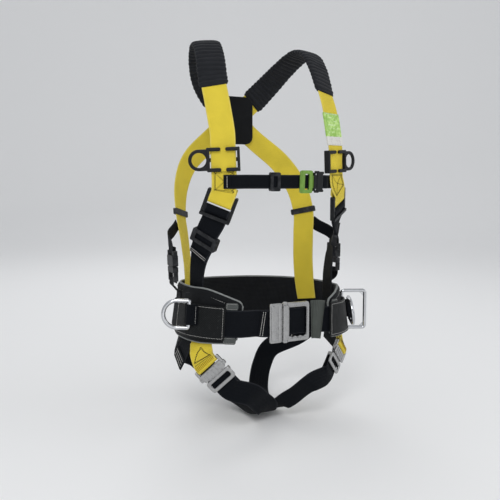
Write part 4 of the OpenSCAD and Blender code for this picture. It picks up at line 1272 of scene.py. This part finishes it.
for k in range(7):
    holder.pair(33.4, 6 + 4.2 * k, 3.2, (5.2, 1.5, 1.0), 0.4)
holder.build("waist_frame_shell", WAIST, "root", "buckle", ["waist_frame"])

# Leg buckles
socket = Fitting()
socket.plates((50, 17, 4, 0, 9, 1.9, 4.5, 1.0), (50, 17, 4, 0, 9, -4.5, -1.9, 1.0))
socket.block((0, 16.2, 0), (44, 2.4, 4.4), 0.3)
socket.pair(20.6, 9, 0, (2.0, 15, 4.4), 0.3)
socket.plates(*[(5.4, 17, 2.4, u, 19.5, -3.5, 3.5, 1.3) for u in (-26, 26)],
              *[(3.0, 13, 1.4, u, 9, 4.1, 5.5, 0.6) for u in range(-16, 17, 8)])
socket.rod((-26, 24, 0), (26, 24, 0), 2.5)
both_sides(socket, "leg_socket", LEG, ("root", "root"))
tongue = Fitting()
tongue.slab([round_box(56, 24, 6, 0, -13), round_box(44, 10, 3.4, 0, -13)], -2.0, 2.0, 1.2)
tongue.plates((36, 15, 3, 0, 6, -1.6, 1.6, 0.6))
tongue.pair(25.5, -6, -5, (4, 7, 8), 1.3)
tongue.rod((-26, -6, -7), (26, -6, -7), 1.8)
both_sides(tongue, "leg_tongue", LEG, ("leg_plug_right", "leg_plug_left"))

# ---------- Rings ----------


def corner(u, v, r, start, end):
    return [(x, y, 0) for x, y in arc(u, v, r, start, end, 6)]


def ring(name, f, angle, path, body, node, plates=()):
    made = Fitting()
    turn = Matrix.Rotation(-radians(angle), 4, "Y")
    made.loop([turn @ Vector(p) for p in path], RING_WIRE, sides=28)
    for plate in plates:
        made.slab([plate], -1.3, 1.3, 0.6, turn=turn)
    made.build(name, f, body, "ring", [node])


def bow(r, leg, corner_r=3.0):
    """D-ring: straight bar on u = 0 and a half circle at the far side."""
    path = [(0, -r + corner_r + 2 * r * i / 12 * (1 - corner_r / r), 0) for i in range(13)]
    path += corner(corner_r, r - corner_r, corner_r, 180, 90)[1:]
    path += [(x, y, 0) for x, y in arc(leg, 0, r, 90, -90, 48)]
    path += corner(corner_r, -r + corner_r, corner_r, 270, 180)[:-1]
    return path


ring("side_ring_shell_right", RING_RIGHT, 135, bow(25, 22), "side_d_ring_right", "side_ring_right")
ring("side_ring_shell_left", RING_LEFT, 183, bow(25, 22), "side_d_ring_left", "side_ring_left")
DORSAL = Seat(Vector((0, DORSAL_Y + RING_WIRE + 2, DORSAL_Z)), Vector((0, 0, -1)), Vector((1, 0, 0)),
              Vector((0, -1, 0)))
ring("dorsal_ring_shell", DORSAL, 0, bow(27, 16), "dorsal_d_ring", "dorsal_ring")
HALF, REACH, BEND = 40, 50, 5
tall = (corner(BEND, HALF - BEND, BEND, 180, 90) + corner(REACH - BEND, HALF - BEND, BEND, 90, 0)
        + corner(REACH - BEND, -HALF + BEND, BEND, 0, -90) + corner(BEND, -HALF + BEND, BEND, 270, 180))
gussets = [[(REACH - 1, v * 38), (REACH - 14, v * 39), (REACH - 1, v * 26)] for v in (-1, 1)]
ring("square_ring_shell", RING_SQUARE, 114, tall, "square_ring_body", "square_ring", plates=gussets)
